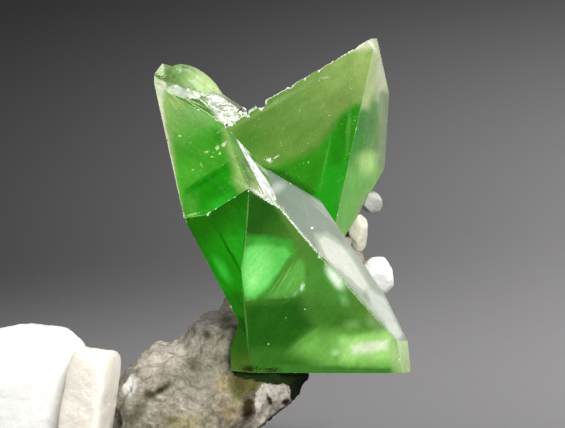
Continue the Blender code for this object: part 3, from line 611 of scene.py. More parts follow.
def lattice(points, seed):
    """Smooth noise: random values at whole numbers, blended by 6t^5 - 15t^4 + 10t^3, from -1 to 1."""
    cell = np.floor(points).astype(np.int64)
    part = points - cell
    part = part * part * part * (part * (part * 6.0 - 15.0) + 10.0)
    total = np.zeros(len(points))
    for dx in (0, 1):
        for dy in (0, 1):
            for dz in (0, 1):
                corner = cell + (dx, dy, dz)
                code = (corner[:, 0] * 73856093) ^ (corner[:, 1] * 19349663) ^ (corner[:, 2] * 83492791)
                code = (code ^ (seed * 2654435761)) & 0xFFFFFFFF
                code = ((code ^ (code >> 15)) * 2246822519) & 0xFFFFFFFF
                code = ((code ^ (code >> 13)) * 3266489917) & 0xFFFFFFFF
                value = ((code ^ (code >> 16)) & 0xFFFF) / 32767.5 - 1.0
                wx = part[:, 0] if dx else 1.0 - part[:, 0]
                wy = part[:, 1] if dy else 1.0 - part[:, 1]
                wz = part[:, 2] if dz else 1.0 - part[:, 2]
                total += value * wx * wy * wz
    return total


def layered(points, size, seed, layers=4, fall=0.5):
    """Noise summed over layers, each half the size and fall times the height of the last."""
    total = np.zeros(len(points))
    for layer in range(layers):
        total += lattice(points / size * 2.0 ** layer + layer * 7.3, seed + layer) * fall ** layer
    return total


def new_mesh(name, points, faces):
    """A mesh object in metres from points in mm, at the origin, unturned."""
    mesh = bpy.data.meshes.new(name)
    mesh.from_pydata((np.asarray(points) * MM).tolist(), [], faces)
    mesh.update()
    obj = bpy.data.objects.new(name, mesh)
    bpy.context.collection.objects.link(obj)
    return obj


def ball_grid(steps):
    """Unit directions over two angles, with one point at each pole, and the faces between them."""
    rings = steps // 2
    tilt = (np.arange(1, rings) / rings * math.pi)[:, None]
    turn = (np.arange(steps) / steps * 2.0 * math.pi)[None, :]
    ring = np.stack([np.sin(tilt) * np.cos(turn), np.sin(tilt) * np.sin(turn),
                     np.cos(tilt) * np.ones_like(turn)], axis=-1).reshape(-1, 3)
    points = np.vstack([[0.0, 0.0, 1.0], ring, [0.0, 0.0, -1.0]])
    row, col = np.meshgrid(np.arange(rings - 2), np.arange(steps), indexing="ij")
    nxt = (col + 1) % steps
    quads = np.stack([1 + row * steps + col, 1 + (row + 1) * steps + col,
                      1 + (row + 1) * steps + nxt, 1 + row * steps + nxt], axis=-1).reshape(-1, 4)
    col = np.arange(steps)
    last = len(points) - 1
    top = np.stack([np.zeros_like(col), 1 + col, 1 + (col + 1) % steps], axis=-1)
    base = 1 + (rings - 2) * steps
    low = np.stack([np.full_like(col, last), base + (col + 1) % steps, base + col], axis=-1)
    return points, quads.tolist() + top.tolist() + low.tolist()


def faceted(directions, normals, reaches, sharp):
    """Radius in each direction: the flat faces n.p = reach joined by a power mean, sharper as sharp grows."""
    share = np.maximum(directions @ np.asarray(normals).T, 0.0) / np.asarray(reaches)
    return (share ** sharp).sum(axis=1) ** (-1.0 / sharp)


def turned(degrees):
    """The matrix that turns about X, then Y, then Z."""
    x, y, z = np.radians(degrees)
    about_x = np.array([[1, 0, 0], [0, math.cos(x), -math.sin(x)], [0, math.sin(x), math.cos(x)]])
    about_y = np.array([[math.cos(y), 0, math.sin(y)], [0, 1, 0], [-math.sin(y), 0, math.cos(y)]])
    about_z = np.array([[math.cos(z), -math.sin(z), 0], [math.sin(z), math.cos(z), 0], [0, 0, 1]])
    return about_z @ about_y @ about_x


def modify(obj, kind, **settings):
    """Give an object a modifier with these settings and apply it."""
    modifier = obj.modifiers.new(kind.lower(), kind)
    for key, value in settings.items():
        setattr(modifier, key, value)
    graph = bpy.context.evaluated_depsgraph_get()
    graph.update()
    mesh = bpy.data.meshes.new_from_object(obj.evaluated_get(graph))
    obj.modifiers.clear()
    obj.data = mesh


def merged_copy(node, name):
    """A CAD node's mesh as a new object with its loose triangles joined."""
    obj = bpy.data.objects.new(name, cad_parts[node].data.copy())
    bpy.context.collection.objects.link(obj)
    modify(obj, "WELD", merge_threshold=MERGE)
    return obj


def read_vectors(obj, key):
    """One vector for each point of an object: "co", in metres, or its smooth "normal"."""
    flat = np.empty(len(obj.data.vertices) * 3)
    obj.data.vertices.foreach_get(key, flat)
    return flat.reshape(-1, 3)


def write_points(obj, points):
    """Put points in mm back into an object."""
    obj.data.vertices.foreach_set("co", (np.asarray(points) * MM).ravel())
    obj.data.update()


def body_depth(points, centre, facets):
    """Distance outside a convex body, negative inside, and the nearest facet's normal."""
    planes = np.array(list(facets.values()))
    normals = unit(planes[:, :3])
    away = (points - HOME - np.array(centre)) @ normals.T - planes[:, 3]
    nearest = away.argmax(axis=1)
    return away.max(axis=1), normals[nearest]


def clear_of_twin(points):
    """Points in or against the twin, pushed out of its bodies to a small gap."""
    for body in BODIES:
        away, normal = body_depth(points, *body)
        points = points + normal * np.maximum(TWIN_GAP - away, 0.0)[:, None]
    return points


def smooth_step(value, low, high):
    """0 below low, 1 above high, and a smooth S between."""
    part = np.clip((value - low) / (high - low), 0.0, 1.0)
    return part * part * (3.0 - 2.0 * part)


def shade(obj, smooth):
    """Set every face smooth or flat."""
    obj.data.polygons.foreach_set("use_smooth", [smooth] * len(obj.data.polygons))
    obj.data.update()


def finish_piece(obj, node, material=None):
    """Give a piece its ride, hide the CAD node it stands for and, where it has only one, give it its material.
    """
    if material is not None:
        obj.data.materials.clear()
        obj.data.materials.append(material)
    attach(obj, "root")
    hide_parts(node)


# ---------------------------------------------------------------- shader maths

class Term:
    """A shader socket that Python expressions can add, subtract and multiply."""

    def __init__(self, paint, socket):
        self.paint = paint
        self.socket = socket

    def join(self, operation, other, turn=False):
        """A Math node on this and the other, in the other order where turned."""
        first, second = (other, self) if turn else (self, other)
        return self.paint.node("ShaderNodeMath", {"operation": operation}, {0: first, 1: second})

    __add__ = partialmethod(join, "ADD")
    __radd__ = partialmethod(join, "ADD", turn=True)
    __sub__ = partialmethod(join, "SUBTRACT")
    __rsub__ = partialmethod(join, "SUBTRACT", turn=True)
    __mul__ = partialmethod(join, "MULTIPLY")
    __rmul__ = partialmethod(join, "MULTIPLY", turn=True)


class Paint:
    """One material and the nodes that make it."""

    def __init__(self, name):
        self.material = bpy.data.materials.new(name)
        self.material.use_nodes = True
        self.tree = self.material.node_tree
        self.tree.nodes.clear()
        self.output = self.tree.nodes.new("ShaderNodeOutputMaterial")
        self.place = self.node("ShaderNodeTexCoord", {}, {}, "Object")

    def node(self, kind, settings, sockets, out=0):
        """Any node: its settings first, then the values or links of its sockets."""
        made = self.tree.nodes.new(kind)
        stops = settings.pop("stops", None)
        for key, value in settings.items():
            setattr(made, key, value)
        if stops:
            ramp = made.color_ramp
            while len(ramp.elements) < len(stops):
                ramp.elements.new(0.5)
            for element, (position, colour) in zip(ramp.elements, stops):
                element.position = position
                element.color = (*colour, 1.0)
        for key, value in sockets.items():
            socket = made.inputs[key]
            if isinstance(value, Term):
                self.tree.links.new(value.socket, socket)
            elif isinstance(value, (tuple, list)) and len(value) == 3 and socket.type == "RGBA":
                socket.default_value = (*value, 1.0)
            else:
                socket.default_value = value
        return Term(self, made.outputs[out])

    def mix(self, factor, first, second):
        """Colours blended by a factor."""
        return self.node("ShaderNodeMix", {"data_type": "RGBA"}, {0: factor, 6: first, 7: second}, 2)

    def step(self, value, low, high, start=0.0, end=1.0):
        """A smooth rise of value from start at low to end at high."""
        return self.node("ShaderNodeMapRange", {"interpolation_type": "SMOOTHSTEP"},
                         {"Value": value, "From Min": low, "From Max": high, "To Min": start, "To Max": end})

    def noise(self, size, detail=3.0, rough=0.5, place=None):
        """Noise whose features are about size mm wide."""
        return self.node("ShaderNodeTexNoise", {},
                         {"Vector": place or self.place, "Scale": 1.0 / (size * MM), "Detail": detail,
                          "Roughness": rough})

    def dot(self, vector, direction):
        """How far a vector reaches along a direction, times the direction's length."""
        return self.node("ShaderNodeVectorMath", {"operation": "DOT_PRODUCT"},
                         {0: vector, 1: tuple(direction)}, "Value")

    def length(self, vector):
        """The length of a vector."""
        return self.node("ShaderNodeVectorMath", {"operation": "LENGTH"}, {0: vector}, "Value")

    def along(self, direction):
        """Distance in mm along a direction, from the rock's own zero."""
        return self.dot(self.place, np.array(direction) / MM) - float(HOME @ np.array(direction))

    def spot(self, centre, radii, turn=(0, 0, 0), edge=0.5):
        """1 inside an ellipsoid about a point in mm, falling to 0 at its rim."""
        place = self.node("ShaderNodeMapping", {"vector_type": "TEXTURE"},
                          {"Vector": self.place, "Location": tuple(at(centre) * MM),
                           "Rotation": tuple(np.radians(turn)), "Scale": tuple(np.array(radii) * MM)})
        return self.step(self.length(place), 1.0 - edge, 1.0, 1.0, 0.0)

    def flat(self, sway, size):
        """The place across and up the twin's front in mm, swayed by noise, with 1 as its third part."""
        aside = self.node("ShaderNodeMapping", {}, {"Vector": self.place, "Location": NOISE_ASIDE})
        return self.node("ShaderNodeCombineXYZ", {}, {
            0: self.along(ACROSS) + (self.noise(size, 3.0) - 0.5) * (2.0 * sway),
            1: self.along(UPWARD) + (self.noise(size, 3.0, place=aside) - 0.5) * (2.0 * sway), 2: 1.0})

    def across(self, flat, point, direction, half=1.0):
        """The flat place measured from a point along a direction, over a half size."""
        x, y = direction
        return self.dot(flat, (x / half, y / half, -(x * point[0] + y * point[1]) / half))

    def outline(self, flat, corners, soft):
        """1 inside an outline, 0 outside: the least of the distances within its sides."""
        inside = None
        for (x1, y1), (x2, y2) in zip(corners, corners[1:] + corners[:1]):
            length = math.hypot(x2 - x1, y2 - y1)
            side = self.across(flat, (x1, y1), ((y1 - y2) / length, (x2 - x1) / length))
            inside = side if inside is None else inside.join("MINIMUM", side)
        return self.step(inside, -0.5 * soft, 0.5 * soft)

    def oval(self, flat, middle, half, turn, soft, rough):
        """1 inside an oval, 0 outside: the length of the place over the half sizes, with a rough rim."""
        turn = math.radians(turn)
        first = self.across(flat, middle, (math.cos(turn), math.sin(turn)), half[0])
        second = self.across(flat, middle, (-math.sin(turn), math.cos(turn)), half[1])
        reach = self.length(self.node("ShaderNodeCombineXYZ", {}, {0: first, 1: second}))
        if rough is not None:
            reach = reach + rough
        return self.step(reach, 1.0 - soft, 1.0 + soft * 0.5, 1.0, 0.0)

    def streaks(self, turn, long, short):
        """Noise drawn out along a direction across the twin's front."""
        place = self.node("ShaderNodeMapping", {"vector_type": "TEXTURE"}, {
            "Vector": self.place, "Rotation": (0.0, -math.radians(turn), 0.0),
            "Scale": (long * MM, long * MM, short * MM)})
        return self.noise(1.0 / MM, 4.0, 0.6, place)

    def vary(self, tone, noise, strength, level=0.62):
        """A tone made darker where a noise is below a level: a mix with black, clamped at none."""
        return self.mix((level - noise) * strength, tone, BLACK)

    def facing(self, normal, low=0.97, high=0.99):
        """1 on faces whose normal is close to the one given."""
        turn = self.node("ShaderNodeNewGeometry", {}, {}, "True Normal")
        return self.step(self.dot(turn, unit(np.array(normal))), low, high)

    def bump(self, height, depth):
        """A bump of depth mm from a height."""
        return self.node("ShaderNodeBump", {}, {"Height": height, "Distance": depth * MM, "Strength": 1.0})

    def principled(self, sockets):
        """A Principled shader from the values or links of its sockets."""
        return self.node("ShaderNodeBsdfPrincipled", {}, sockets)

    def blend(self, factor, first, second):
        """Two shaders mixed by a factor."""
        return self.node("ShaderNodeMixShader", {}, {0: factor, 1: first, 2: second})

    def finish(self, surface, volume=None):
        """The finished material, with its surface and its inside linked up."""
        self.tree.links.new(surface.socket, self.output.inputs["Surface"])
        if volume is not None:
            self.tree.links.new(volume.socket, self.output.inputs["Volume"])
        return self.material


# ---------------------------------------------------------------- materials

def shown(colour, light=1.0):
    """The base colour that shows as a display colour, 0 to 255, in a light of that strength."""
    value = np.array(colour) / 255.0
    value = np.where(value < 0.04045, value / 12.92, ((value + 0.055) / 1.055) ** 2.4)
    return tuple(np.clip(value / light, 0.0, 1.0).tolist())


def lay_patches(paint, tone, patches, light, flats, rough):
    """Lay soft patches of colour over a tone; the softer a patch, the more its rim sways."""
    still, swayed, loose = flats
    for _, place, soft, colour, *edge in patches:
        if isinstance(place[2], tuple):
            flat = still if soft < NARROW else swayed if soft < MIDDLING else loose
            mask = paint.outline(flat, place, soft)
            if edge:
                mask = paint.step(mask + rough * edge[0], 0.4, 0.6)
        else:
            flat = still if edge or soft < OVAL_MIDDLING else swayed
            mask = paint.oval(flat, *place, soft, rough * edge[0] if edge else None)
        tone = paint.mix(mask, tone, shown(colour, light))
    return tone


def face_tone(paint, name, table, flats, rough):
    """The colour under one face, painted light and shade included: a run between two colours, faint streaks,
    then its patches.
    """
    (start, first), (end, second), (turn, long, short, strength), patches = table
    lean = np.array(end) - np.array(start)
    run = float(np.linalg.norm(lean))
    light = FACE_LIGHT[name]
    rise = paint.across(flats[2], start, lean / run)
    tone = paint.mix(paint.step(rise, 0.0, run), shown(first, light), shown(second, light))
    tone = lay_patches(paint, tone, patches, light, flats, rough)
    return paint.vary(tone, paint.streaks(turn, long, short), STREAK_GAIN * strength)


def clear_crystal(paint, settings, looks):
    """The clear green shader and the green that it takes on with depth."""
    clear = paint.principled({
        "Base Color": tuple(settings.body), "IOR": settings.ior, "Transmission Weight": 1.0, **looks})
    depth = paint.node("ShaderNodeVolumeAbsorption", {}, {"Color": DEPTH_GREEN, "Density": settings.density})
    return clear, depth


def titanite_paint(settings):
    """Clear green crystal, milky in places, with worn edges, scratches, white dust and painted light and
    shade.
    """
    paint = Paint("titanite clear green")
    flats = [paint.flat(*sway) for sway in TWIN_SWAYS]
    broad = paint.noise(1.3, 3.0)
    fine = paint.noise(0.28, 3.0)
    rough = (paint.noise(0.11, 2.0, 0.7) - 0.5) * 2.6
    height = paint.step(paint.along(UPWARD), *GREEN_RISE)
    tone = paint.mix(height, shown(LOW_GREEN), shown(HIGH_GREEN))
    for name, table in FACE_TONES_AND_PAINTED_LIGHT.items():
        face = face_tone(paint, name, table, flats, rough)
        tone = paint.mix(paint.facing(FACE_NORMALS[name]), tone, face)
    lobe = face_tone(paint, "lobe", LOBE_TONES_AND_PAINTED_LIGHT, flats, rough)
    tone = paint.mix(paint.spot(*LOBE, 0.04) * (1.0 - paint.facing(FACE_NORMALS["top_bevel"])), tone, lobe)
    marked_with_painted_light = lay_patches(paint, tone, MARKS_AND_PAINTED_LIGHT, FACE_LIGHT["marks"], flats, rough)
    tone = paint.mix(paint.facing(TWIN_FRONT, 0.2, 0.3), tone, marked_with_painted_light)
    tone = paint.vary(tone, paint.noise(0.10, 2.0, 0.7) * 0.6 + fine * 0.4, 0.7)
    dust = paint.step(paint.noise(0.13, 1.0), 0.70, 0.76) * paint.step(paint.noise(1.2, 2.0), 0.45, 0.60)
    dust = dust * paint.step(paint.along(UPWARD), *DUST_RISE, 0.15, 1.0)
    tone = paint.mix(dust * DUST_SHARE, tone, DUST)
    ripple = paint.bump(broad * 0.6 + fine * 0.4, 0.02)
    milky = paint.principled({
        "Base Color": tone, "Roughness": 0.38, "Specular IOR Level": 0.14, "Normal": ripple})
    clear, depth = clear_crystal(paint, settings, {"Roughness": 0.02, "Normal": paint.bump(broad, 0.01)})
    least, most = settings.milk - MILK_SWING, settings.milk + MILK_SWING
    milk = paint.step(paint.noise(2.4, 3.0), 0.3, 0.7, least, most)
    milk = milk + dust * (DUST_MILK - milk)
    return paint.finish(paint.blend(milk, clear, milky), depth)


def frosted_paint(settings):
    """White sugary fracture faces."""
    paint = Paint("titanite frosted")
    grain = paint.noise(0.12, 3.0)
    height = paint.step(paint.along(UPWARD), *FROST_RISE)
    tone = paint.mix(height, shown(LOW_FROST), shown(HIGH_FROST))
    tone = paint.mix(paint.step(paint.noise(0.30, 3.0, 0.7), 0.38, 0.60), tone, shown(WHITE_FROST))
    tone = paint.vary(tone, paint.noise(0.16, 3.0, 0.7), 1.6)
    milky = paint.principled({"Base Color": tone, "Roughness": 0.5, "Normal": paint.bump(grain, 0.03)})
    clear, depth = clear_crystal(paint, settings, {"Roughness": 0.2})
    return paint.finish(paint.blend(paint.step(grain, 0.2, 0.6, 0.7, 0.95), clear, milky), depth)


def rock_paint():
    """Grey and white granular rock with tan and brown stains, dark green under the twin and painted shade in
    pits.
    """
    paint = Paint("speckled rock")
    broad = paint.noise(2.2, 5.0, 0.62)
    fine = paint.noise(0.35, 4.0, 0.6)
    light = FACE_LIGHT["rock"]
    stops = [(level, shown(colour, light)) for level, colour in ROCK_TONES]
    tone = paint.node("ShaderNodeValToRGB", {"stops": stops}, {"Fac": broad * 0.6 + fine * 0.4})
    flats = [paint.flat(*sway) for sway in ROCK_SWAYS]
    rough = (paint.noise(0.45, 3.0, 0.7) - 0.5) * 2.0
    white = paint.step(paint.noise(0.42, 3.0, 0.6), 0.56, 0.70)
    tone = paint.mix(white * 0.35, tone, shown(ROCK_SPECK, light))
    stains_and_shade = lay_patches(paint, tone, ROCK_STAINS_AND_SHADE, light, flats, rough)
    tone = paint.mix(paint.facing(ROCK_FRONT, -0.35, 0.05), tone, stains_and_shade)
    tone = paint.mix(paint.spot(*WHITE_GRAIN), tone, shown(GRAIN_WHITE, light))
    tone = paint.vary(tone, paint.noise(0.62, 2.0, 0.5), 1.7, 0.54)
    tone = paint.vary(tone, paint.noise(0.24, 2.0, 0.6), 1.2, 0.56)
    return paint.finish(paint.principled({
        "Base Color": tone, "Roughness": 0.85, "Specular IOR Level": 0.15,
        "Normal": paint.bump(broad * 0.5 + fine * 0.5, 0.25)}))


def feldspar_paint(name, warm, pale):
    """Waxy feldspar, clouded from a warm to a pale tone."""
    paint = Paint(name)
    cloud = paint.noise(1.6, 4.0, 0.55)
    fine = paint.noise(0.2, 3.0)
    tone = paint.mix(cloud, warm, pale)
    return paint.finish(paint.principled({
        "Base Color": tone, "Roughness": 0.42, "Subsurface Weight": 0.25,
        "Subsurface Radius": (1.0, 0.85, 0.65), "Subsurface Scale": 0.0008,
        "Normal": paint.bump(fine, 0.04)}))


def floor_paint():
    """Matt pale card."""
    paint = Paint("pale card")
    tone = paint.mix(paint.noise(2.0, 2.0), *CARD_TONES)
    return paint.finish(paint.principled({"Base Color": tone, "Roughness": 0.9}))


# ---------------------------------------------------------------- pieces

def chip_corners():
    """The twelve corners and twenty faces of an icosahedron."""
    g = (1.0 + math.sqrt(5.0)) / 2.0
    points = np.array([(-1, g, 0), (1, g, 0), (-1, -g, 0), (1, -g, 0), (0, -1, g), (0, 1, g),
                       (0, -1, -g), (0, 1, -g), (g, 0, -1), (g, 0, 1), (-g, 0, -1), (-g, 0, 1)])
    faces = np.array([(0, 11, 5), (0, 5, 1), (0, 1, 7), (0, 7, 10), (0, 10, 11), (1, 5, 9), (5, 11, 4),
                      (11, 10, 2), (10, 7, 6), (7, 1, 8), (3, 9, 4), (3, 4, 2), (3, 2, 6), (3, 6, 8),
                      (3, 8, 9), (4, 9, 5), (2, 4, 11), (6, 2, 10), (8, 6, 7), (9, 8, 1)])
    return points / np.linalg.norm(points[0]), faces


def convex_edges(obj):
    """Ends in mm and outward direction of each long edge that stands out sharply."""
    grid = bmesh.new()
    grid.from_mesh(obj.data)
    found = []
    for edge in grid.edges:
        if len(edge.link_faces) != 2 or not edge.is_convex or edge.calc_length() <= SHORT_EDGE * MM:
            continue
        if edge.calc_face_angle(0.0) > SHARP_EDGE:
            outward = (edge.link_faces[0].normal + edge.link_faces[1].normal).normalized()
            found.append((edge.verts[0].co / MM, edge.verts[1].co / MM, outward))
    parts = [np.array(part) for part in zip(*found)]
    grid.free()
    return parts


def edge_chips(obj, rng):
    """Chips drawn at random along the edges: place, outward direction, run, radius and depth of each."""
    starts, ends, outward = convex_edges(obj)
    lengths = np.linalg.norm(ends - starts, axis=1)
    counts = np.ceil(lengths / SAMPLE_STEP).astype(int)
    edge = np.repeat(np.arange(len(counts)), counts)
    share = rng.uniform(size=len(edge))[:, None]
    places = starts[edge] * (1.0 - share) + ends[edge] * share
    outward = outward[edge]
    rate, radius, depth = [np.full(len(edge), value) for value in CHIP_REST]
    for start, end, worn_rate, worn_radius, worn_depth in WEAR:
        start = at(start)
        run = at(end) - start
        along = np.clip((places - start) @ run / (run @ run), 0.0, 1.0)[:, None]
        near = np.linalg.norm(places - start - along * run, axis=1) < WORN_REACH
        rate[near], radius[near], depth[near] = worn_rate, worn_radius, worn_depth
        outward[near] = unit(outward[near] + FRONT_PULL)
    keep = rng.uniform(size=len(edge)) < rate * SAMPLE_STEP
    return places[keep], outward[keep], (ends - starts)[edge[keep]], radius[keep], depth[keep]


def ground_chips(rng):
    """Chips drawn at random over broken ground: place, outward direction, run, radius and depth of each."""
    parts = []
    for a, b, c, d, rate, radius, depth in BROKEN:
        a, b, c, d = map(at, (a, b, c, d))
        across = np.cross(c - a, d - b)
        count = int(rate * np.linalg.norm(across) / 2.0)
        u, v = rng.uniform(size=(2, count, 1))
        places = (a * (1 - u) + b * u) * (1 - v) + (d * (1 - u) + c * u) * v
        normal = unit(across) * np.sign(across[2])
        parts.append((places, np.tile(normal, (count, 1)), rng.normal(size=(count, 3)),
                      np.full(count, radius), np.full(count, depth)))
    return [np.concatenate(part) for part in zip(*parts)]


def lump_mesh(name, lumps):
    """A mesh of icosahedra from the twelve corners of each in mm."""
    faces = chip_corners()[1] + 12 * np.arange(len(lumps))[:, None, None]
    return new_mesh(name, lumps.reshape(-1, 3), faces.reshape(-1, 3).tolist())


def grain_lumps(name, lines, rng):
    """One mesh of standing grains: icosahedra jittered and scattered along lines, kept in the CAD box."""
    corners = chip_corners()[0]
    parts = []
    for start, end, count, radius, spread in lines:
        places = at(start) + rng.uniform(size=(count, 1)) * (np.array(end) - np.array(start))
        places += rng.normal(size=(count, 3)) * spread * GRAIN_SCATTER
        lumps = corners * rng.uniform(*LUMPY, size=(count, 12, 1))
        lumps = lumps * rng.uniform(*GRAIN_STRETCH, size=(count, 1, 3))
        size = radius * rng.lognormal(0.0, GRAIN_SPREAD, (count, 1, 1))
        parts.append(lumps * size + places[:, None, :])
    low, high = np.array(CAD_BOX) / MM
    return lump_mesh(name, np.clip(np.concatenate(parts), low, high))


def chip_cutters(obj, settings, rng):
    """One mesh of broken lumps: at each chip an icosahedron drawn out along the edge and jittered."""
    parts = zip(edge_chips(obj, rng), ground_chips(rng))
    places, outward, run, radius, depth = [np.concatenate(part) for part in parts]
    count = len(places)
    size = radius * settings.chip * rng.lognormal(0.0, CHIP_SPREAD, count)
    bite = np.minimum(depth * settings.chip * rng.lognormal(0.0, BITE_SPREAD, count), size * DEEPEST_BITE)
    outward = unit(outward + rng.normal(size=(count, 3)) * CHIP_TILT)
    run = unit(run) + rng.normal(size=(count, 3)) * CHIP_SWING
    run = unit(run - outward * (run * outward).sum(axis=1)[:, None])
    frames = np.stack([run, np.cross(outward, run), outward], axis=1)
    stretch = np.stack([rng.uniform(*CHIP_LONG, count), rng.uniform(*CHIP_WIDE, count), np.ones(count)],
                       axis=1)
    lumps = chip_corners()[0] * stretch[:, None, :] * rng.uniform(*LUMPY, size=(count, 12, 1))
    lumps = np.einsum("nij,njk->nik", lumps, frames) * size[:, None, None]
    middle = places + outward * (size - bite)[:, None] + rng.normal(size=(count, 3)) * CHIP_STRAY
    return lump_mesh("chip_cutters", lumps + middle[:, None, :])


def cut(obj, tool, operation):
    """Join a tool to an object or cut it away; new faces keep the tool's material."""
    modify(obj, "BOOLEAN", operation=operation, solver="EXACT", use_self=True,
           material_mode="TRANSFER", object=tool)
    bpy.data.objects.remove(tool)


class SPECIMEN_OT_titanite(Operator):
    """Add the titanite twin with its worn and chipped edges"""
    bl_idname = "specimen.titanite"
    bl_label = "Titanite twin"

    def execute(self, context):
        settings = context.scene.specimen_twin
        rng = np.random.default_rng(CHIP_SEED)
        twin = merged_copy("titanite_crystal", "titanite_twin")
        modify(twin, "DECIMATE", decimate_type="DISSOLVE", angle_limit=FLAT_ENOUGH)
        cutters = chip_cutters(twin, settings, rng)
        grains = grain_lumps("grains", GRAINS, rng)
        corners = grain_lumps("corners", CORNERS, rng)
        modify(corners, "SUBSURF", levels=2, render_levels=2)
        crystal, frosted = titanite_paint(settings), frosted_paint(settings)
        twin.data.materials.clear()
        pairs = ((twin, crystal), (twin, frosted), (cutters, frosted), (grains, frosted), (corners, crystal))
        for obj, material in pairs:
            obj.data.materials.append(material)
        modify(twin, "BEVEL", width=settings.edge * MM, segments=1, limit_method="ANGLE",
               angle_limit=BEVELLED_EDGE)
        cut(twin, corners, "UNION")
        cut(twin, grains, "UNION")
        cut(twin, cutters, "DIFFERENCE")
        shade(twin, False)
        finish_piece(twin, "titanite_crystal")
        return {"FINISHED"}


class SPECIMEN_OT_rock(Operator):
    """Add the rock, grown right up to the crystals"""
    bl_idname = "specimen.rock"
    bl_label = "Rock matrix"

    def execute(self, context):
        settings = context.scene.specimen_rock
        rock = merged_copy("matrix_rock", "speckled_rock")
        modify(rock, "REMESH", mode="VOXEL", voxel_size=settings.voxel * MM)
        points = read_vectors(rock, "co") / MM
        place = points - HOME
        past = np.maximum(place @ RIGHT_SLOPE - RIGHT_REACH, 0.0)
        points[:, 0] -= past * RIGHT_DRAW * smooth_step(place[:, 2], *RIGHT_SPAN)
        place = points - HOME
        past = np.maximum(place @ SHOULDER_SLOPE - SHOULDER_REACH, 0.0)
        past *= smooth_step(place[:, 0], *SHOULDER_SPAN)
        points -= past[:, None] * SHOULDER_SLOPE * SHOULDER_DRAW
        write_points(rock, points)
        normals = read_vectors(rock, "normal")
        depth = settings.rough * layered(points, *ROCK_BUMPS)
        depth -= CREASE_SHARE * settings.rough * np.abs(layered(points, *ROCK_CREASES))
        depths = [body_depth(points, *body)[0] for body in BODIES]
        near = 1.0 - smooth_step(np.min(depths, axis=0), *COLLAR)
        points = points + normals * (depth * (1.0 - near) + COLLAR_SWELL * near)[:, None]
        for _ in BODIES:                        # a push out of one body can end in another
            points = clear_of_twin(points)
        low, high = box_of("matrix_rock")
        points = np.clip(points, low + BOX_GAP, high - BOX_GAP)
        points[:, 2] = np.where(points[:, 2] < low[2] + FOOT_FLAT, low[2], points[:, 2])
        write_points(rock, points)
        shade(rock, True)
        finish_piece(rock, "matrix_rock", rock_paint())
        return {"FINISHED"}


class SPECIMEN_OT_feldspar(Operator):
    """Add the two blocky feldspar crystals"""
    bl_idname = "specimen.feldspar"
    bl_label = "Feldspar crystals"

    def execute(self, context):
        settings = context.scene.specimen_feldspar
        for node, (name, centre, half, turn, sharp, warm, pale, corners) in FELDSPAR.items():
            cuts = unit(np.array([corner[:3] for corner in corners], float))
            shares = np.array([corner[3] for corner in corners])
            reaches = np.concatenate([half, half, (np.abs(cuts) @ np.array(half)) * shares])
            directions, faces = ball_grid(settings.steps)
            radius = faceted(directions, np.vstack([np.eye(3), -np.eye(3), cuts]), reaches, sharp)
            points = (directions * radius[:, None]) @ turned(turn).T + at(centre)
            etch = settings.etch * layered(points, *FELDSPAR_NOISE)
            points = np.clip(points + directions @ turned(turn).T * etch[:, None], *box_of(node))
            crystal = new_mesh(name, points, faces)
            shade(crystal, True)
            finish_piece(crystal, node, feldspar_paint(name, warm, pale))
        return {"FINISHED"}


class SPECIMEN_OT_beads(Operator):
    """Add the small rounded feldspar crystals beside the twin"""
    bl_idname = "specimen.beads"
    bl_label = "Feldspar beads"

    def execute(self, context):
        rng = np.random.default_rng(BEAD_SEED)
        for node, (name, centre, radii, warm, pale) in BEADS.items():
            directions, faces = ball_grid(BEAD_STEPS)
            normals = unit(rng.normal(size=(BEAD_FACES, 3)))
            radius = faceted(directions, normals, rng.uniform(*BEAD_REACH, BEAD_FACES), BEAD_SHARP)
            points = directions * np.minimum(radius, BEAD_LIMIT)[:, None] * np.array(radii)
            points += directions * (BEAD_ETCH * layered(points, *BEAD_NOISE))[:, None] + at(centre)
            low, high = box_of(node)
            points = np.clip(clear_of_twin(points), low - BEAD_SPARE, high + BEAD_SPARE)
            bead = new_mesh(name, points, faces)
            shade(bead, True)
            finish_piece(bead, node, feldspar_paint(name, warm, pale))
        return {"FINISHED"}


def area_light(name, place, aim, size, glow, colour, spread, lit, shading):
    """A soft square light; lit and shading are collections, or None where it has no limits."""
    light = bpy.data.lights.new(name, "AREA")
    light.shape = "SQUARE"
    light.size = size * MM
    light.energy = glow * math.pi * light.size ** 2
    light.color = colour
    light.spread = math.radians(spread)
    obj = bpy.data.objects.new(name, light)
    bpy.context.collection.objects.link(obj)
    obj.visible_camera = False
    start = at(place) * MM
    ahead = unit(at(aim) * MM - start)
    side = unit(np.cross(ahead, (0.0, 0.0, 1.0)))
    grid = Matrix(np.column_stack([side, np.cross(side, ahead), -ahead]).tolist()).to_4x4()
    obj.matrix_world = Matrix.Translation(start.tolist()) @ grid
    obj.light_linking.receiver_collection = lit
    obj.light_linking.blocker_collection = shading


def gather(name, pieces):
    """A collection of pieces that lights are limited to."""
    group = bpy.data.collections.new(name)
    for piece in pieces:
        group.objects.link(piece)
    return group


def flat_floor():
    """A wide level mesh of square faces at height zero."""
    side = np.linspace(-FLOOR_HALF, FLOOR_HALF, FLOOR_POINTS)
    gx, gy = np.meshgrid(side, side, indexing="ij")
    points = np.stack([gx.ravel(), gy.ravel(), np.zeros(gx.size)], axis=-1)
    index = np.arange(gx.size).reshape(gx.shape)
    faces = np.stack([index[:-1, :-1], index[1:, :-1], index[1:, 1:], index[:-1, 1:]], axis=-1)
    return new_mesh("pale_floor", points, faces.reshape(-1, 4).tolist())


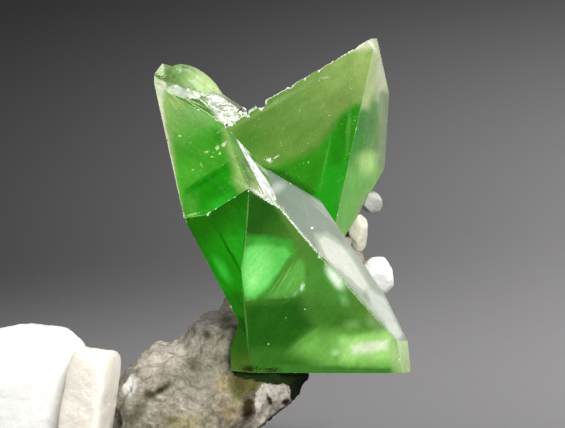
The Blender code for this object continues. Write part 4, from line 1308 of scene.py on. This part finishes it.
def add_camera(context, settings):
    """The camera, tilted down and aimed above the twin's foot."""
    camera = bpy.data.objects.new("camera", bpy.data.cameras.new("camera"))
    context.collection.objects.link(camera)
    camera.data.lens = settings.lens
    camera.data.sensor_width = SENSOR_WIDTH
    camera.data.clip_start = CLIP_START
    ahead = np.array([0.0, math.cos(settings.pitch), -math.sin(settings.pitch)])
    camera.location = (at((0.0, 0.0, AIM_HEIGHT)) * MM - ahead * settings.distance).tolist()
    camera.rotation_euler = (math.pi / 2 - settings.pitch, 0.0, 0.0)
    context.scene.camera = camera


class SPECIMEN_OT_stage(Operator):
    """Add the pale floor, the soft lights and the camera"""
    bl_idname = "specimen.stage"
    bl_label = "Stage"

    def execute(self, context):
        settings = context.scene.specimen_stage
        pieces = [piece for piece in context.scene.objects if piece.type == "MESH"]
        floor = flat_floor()
        floor.data.materials.append(floor_paint())
        world = bpy.data.worlds.new("soft room")
        context.scene.world = world
        world.use_nodes = True
        room = world.node_tree.nodes["Background"].inputs
        room["Color"].default_value = ROOM_COLOUR
        room["Strength"].default_value = ROOM_GLOW
        solid = [piece for piece in pieces if "titanite" not in piece.name] + [floor]
        groups = {
            None: None,
            "specimen": gather("specimen only", pieces),
            "floor": gather("floor only", [floor]),
            "solid": gather("what shades the floor", solid),
        }
        for *light, lit, shading in LIGHTS:
            area_light(*light, groups[lit], groups[shading])
        add_camera(context, settings)
        context.scene.view_settings.view_transform = "Standard"
        return {"FINISHED"}


class SPECIMEN_PT_panel(Panel):
    """The specimen's pieces and their sizes"""
    bl_label = "Titanite specimen"
    bl_idname = "SPECIMEN_PT_panel"
    bl_space_type = "VIEW_3D"
    bl_region_type = "UI"
    bl_category = "Specimen"

    def draw(self, context):
        for name, (kind, operators) in GROUPS.items():
            box = self.layout.box()
            for key in kind.__annotations__:
                box.prop(getattr(context.scene, "specimen_" + name), key)
            for operator in operators:
                box.operator("specimen." + operator)


OPERATORS = (
    SPECIMEN_OT_titanite, SPECIMEN_OT_rock, SPECIMEN_OT_feldspar, SPECIMEN_OT_beads, SPECIMEN_OT_stage)
CLASSES = tuple(kind for kind, _ in GROUPS.values()) + OPERATORS + (SPECIMEN_PT_panel,)


def register():
    for cls in CLASSES:
        bpy.utils.register_class(cls)
    for name, (kind, _) in GROUPS.items():
        setattr(bpy.types.Scene, "specimen_" + name, PointerProperty(type=kind))


def unregister():
    for name in GROUPS:
        delattr(bpy.types.Scene, "specimen_" + name)
    for cls in reversed(CLASSES):
        bpy.utils.unregister_class(cls)


def main():
    register()
    bpy.ops.specimen.titanite()
    bpy.ops.specimen.rock()
    bpy.ops.specimen.feldspar()
    bpy.ops.specimen.beads()
    bpy.ops.specimen.stage()


if __name__ == "__main__":
    main()
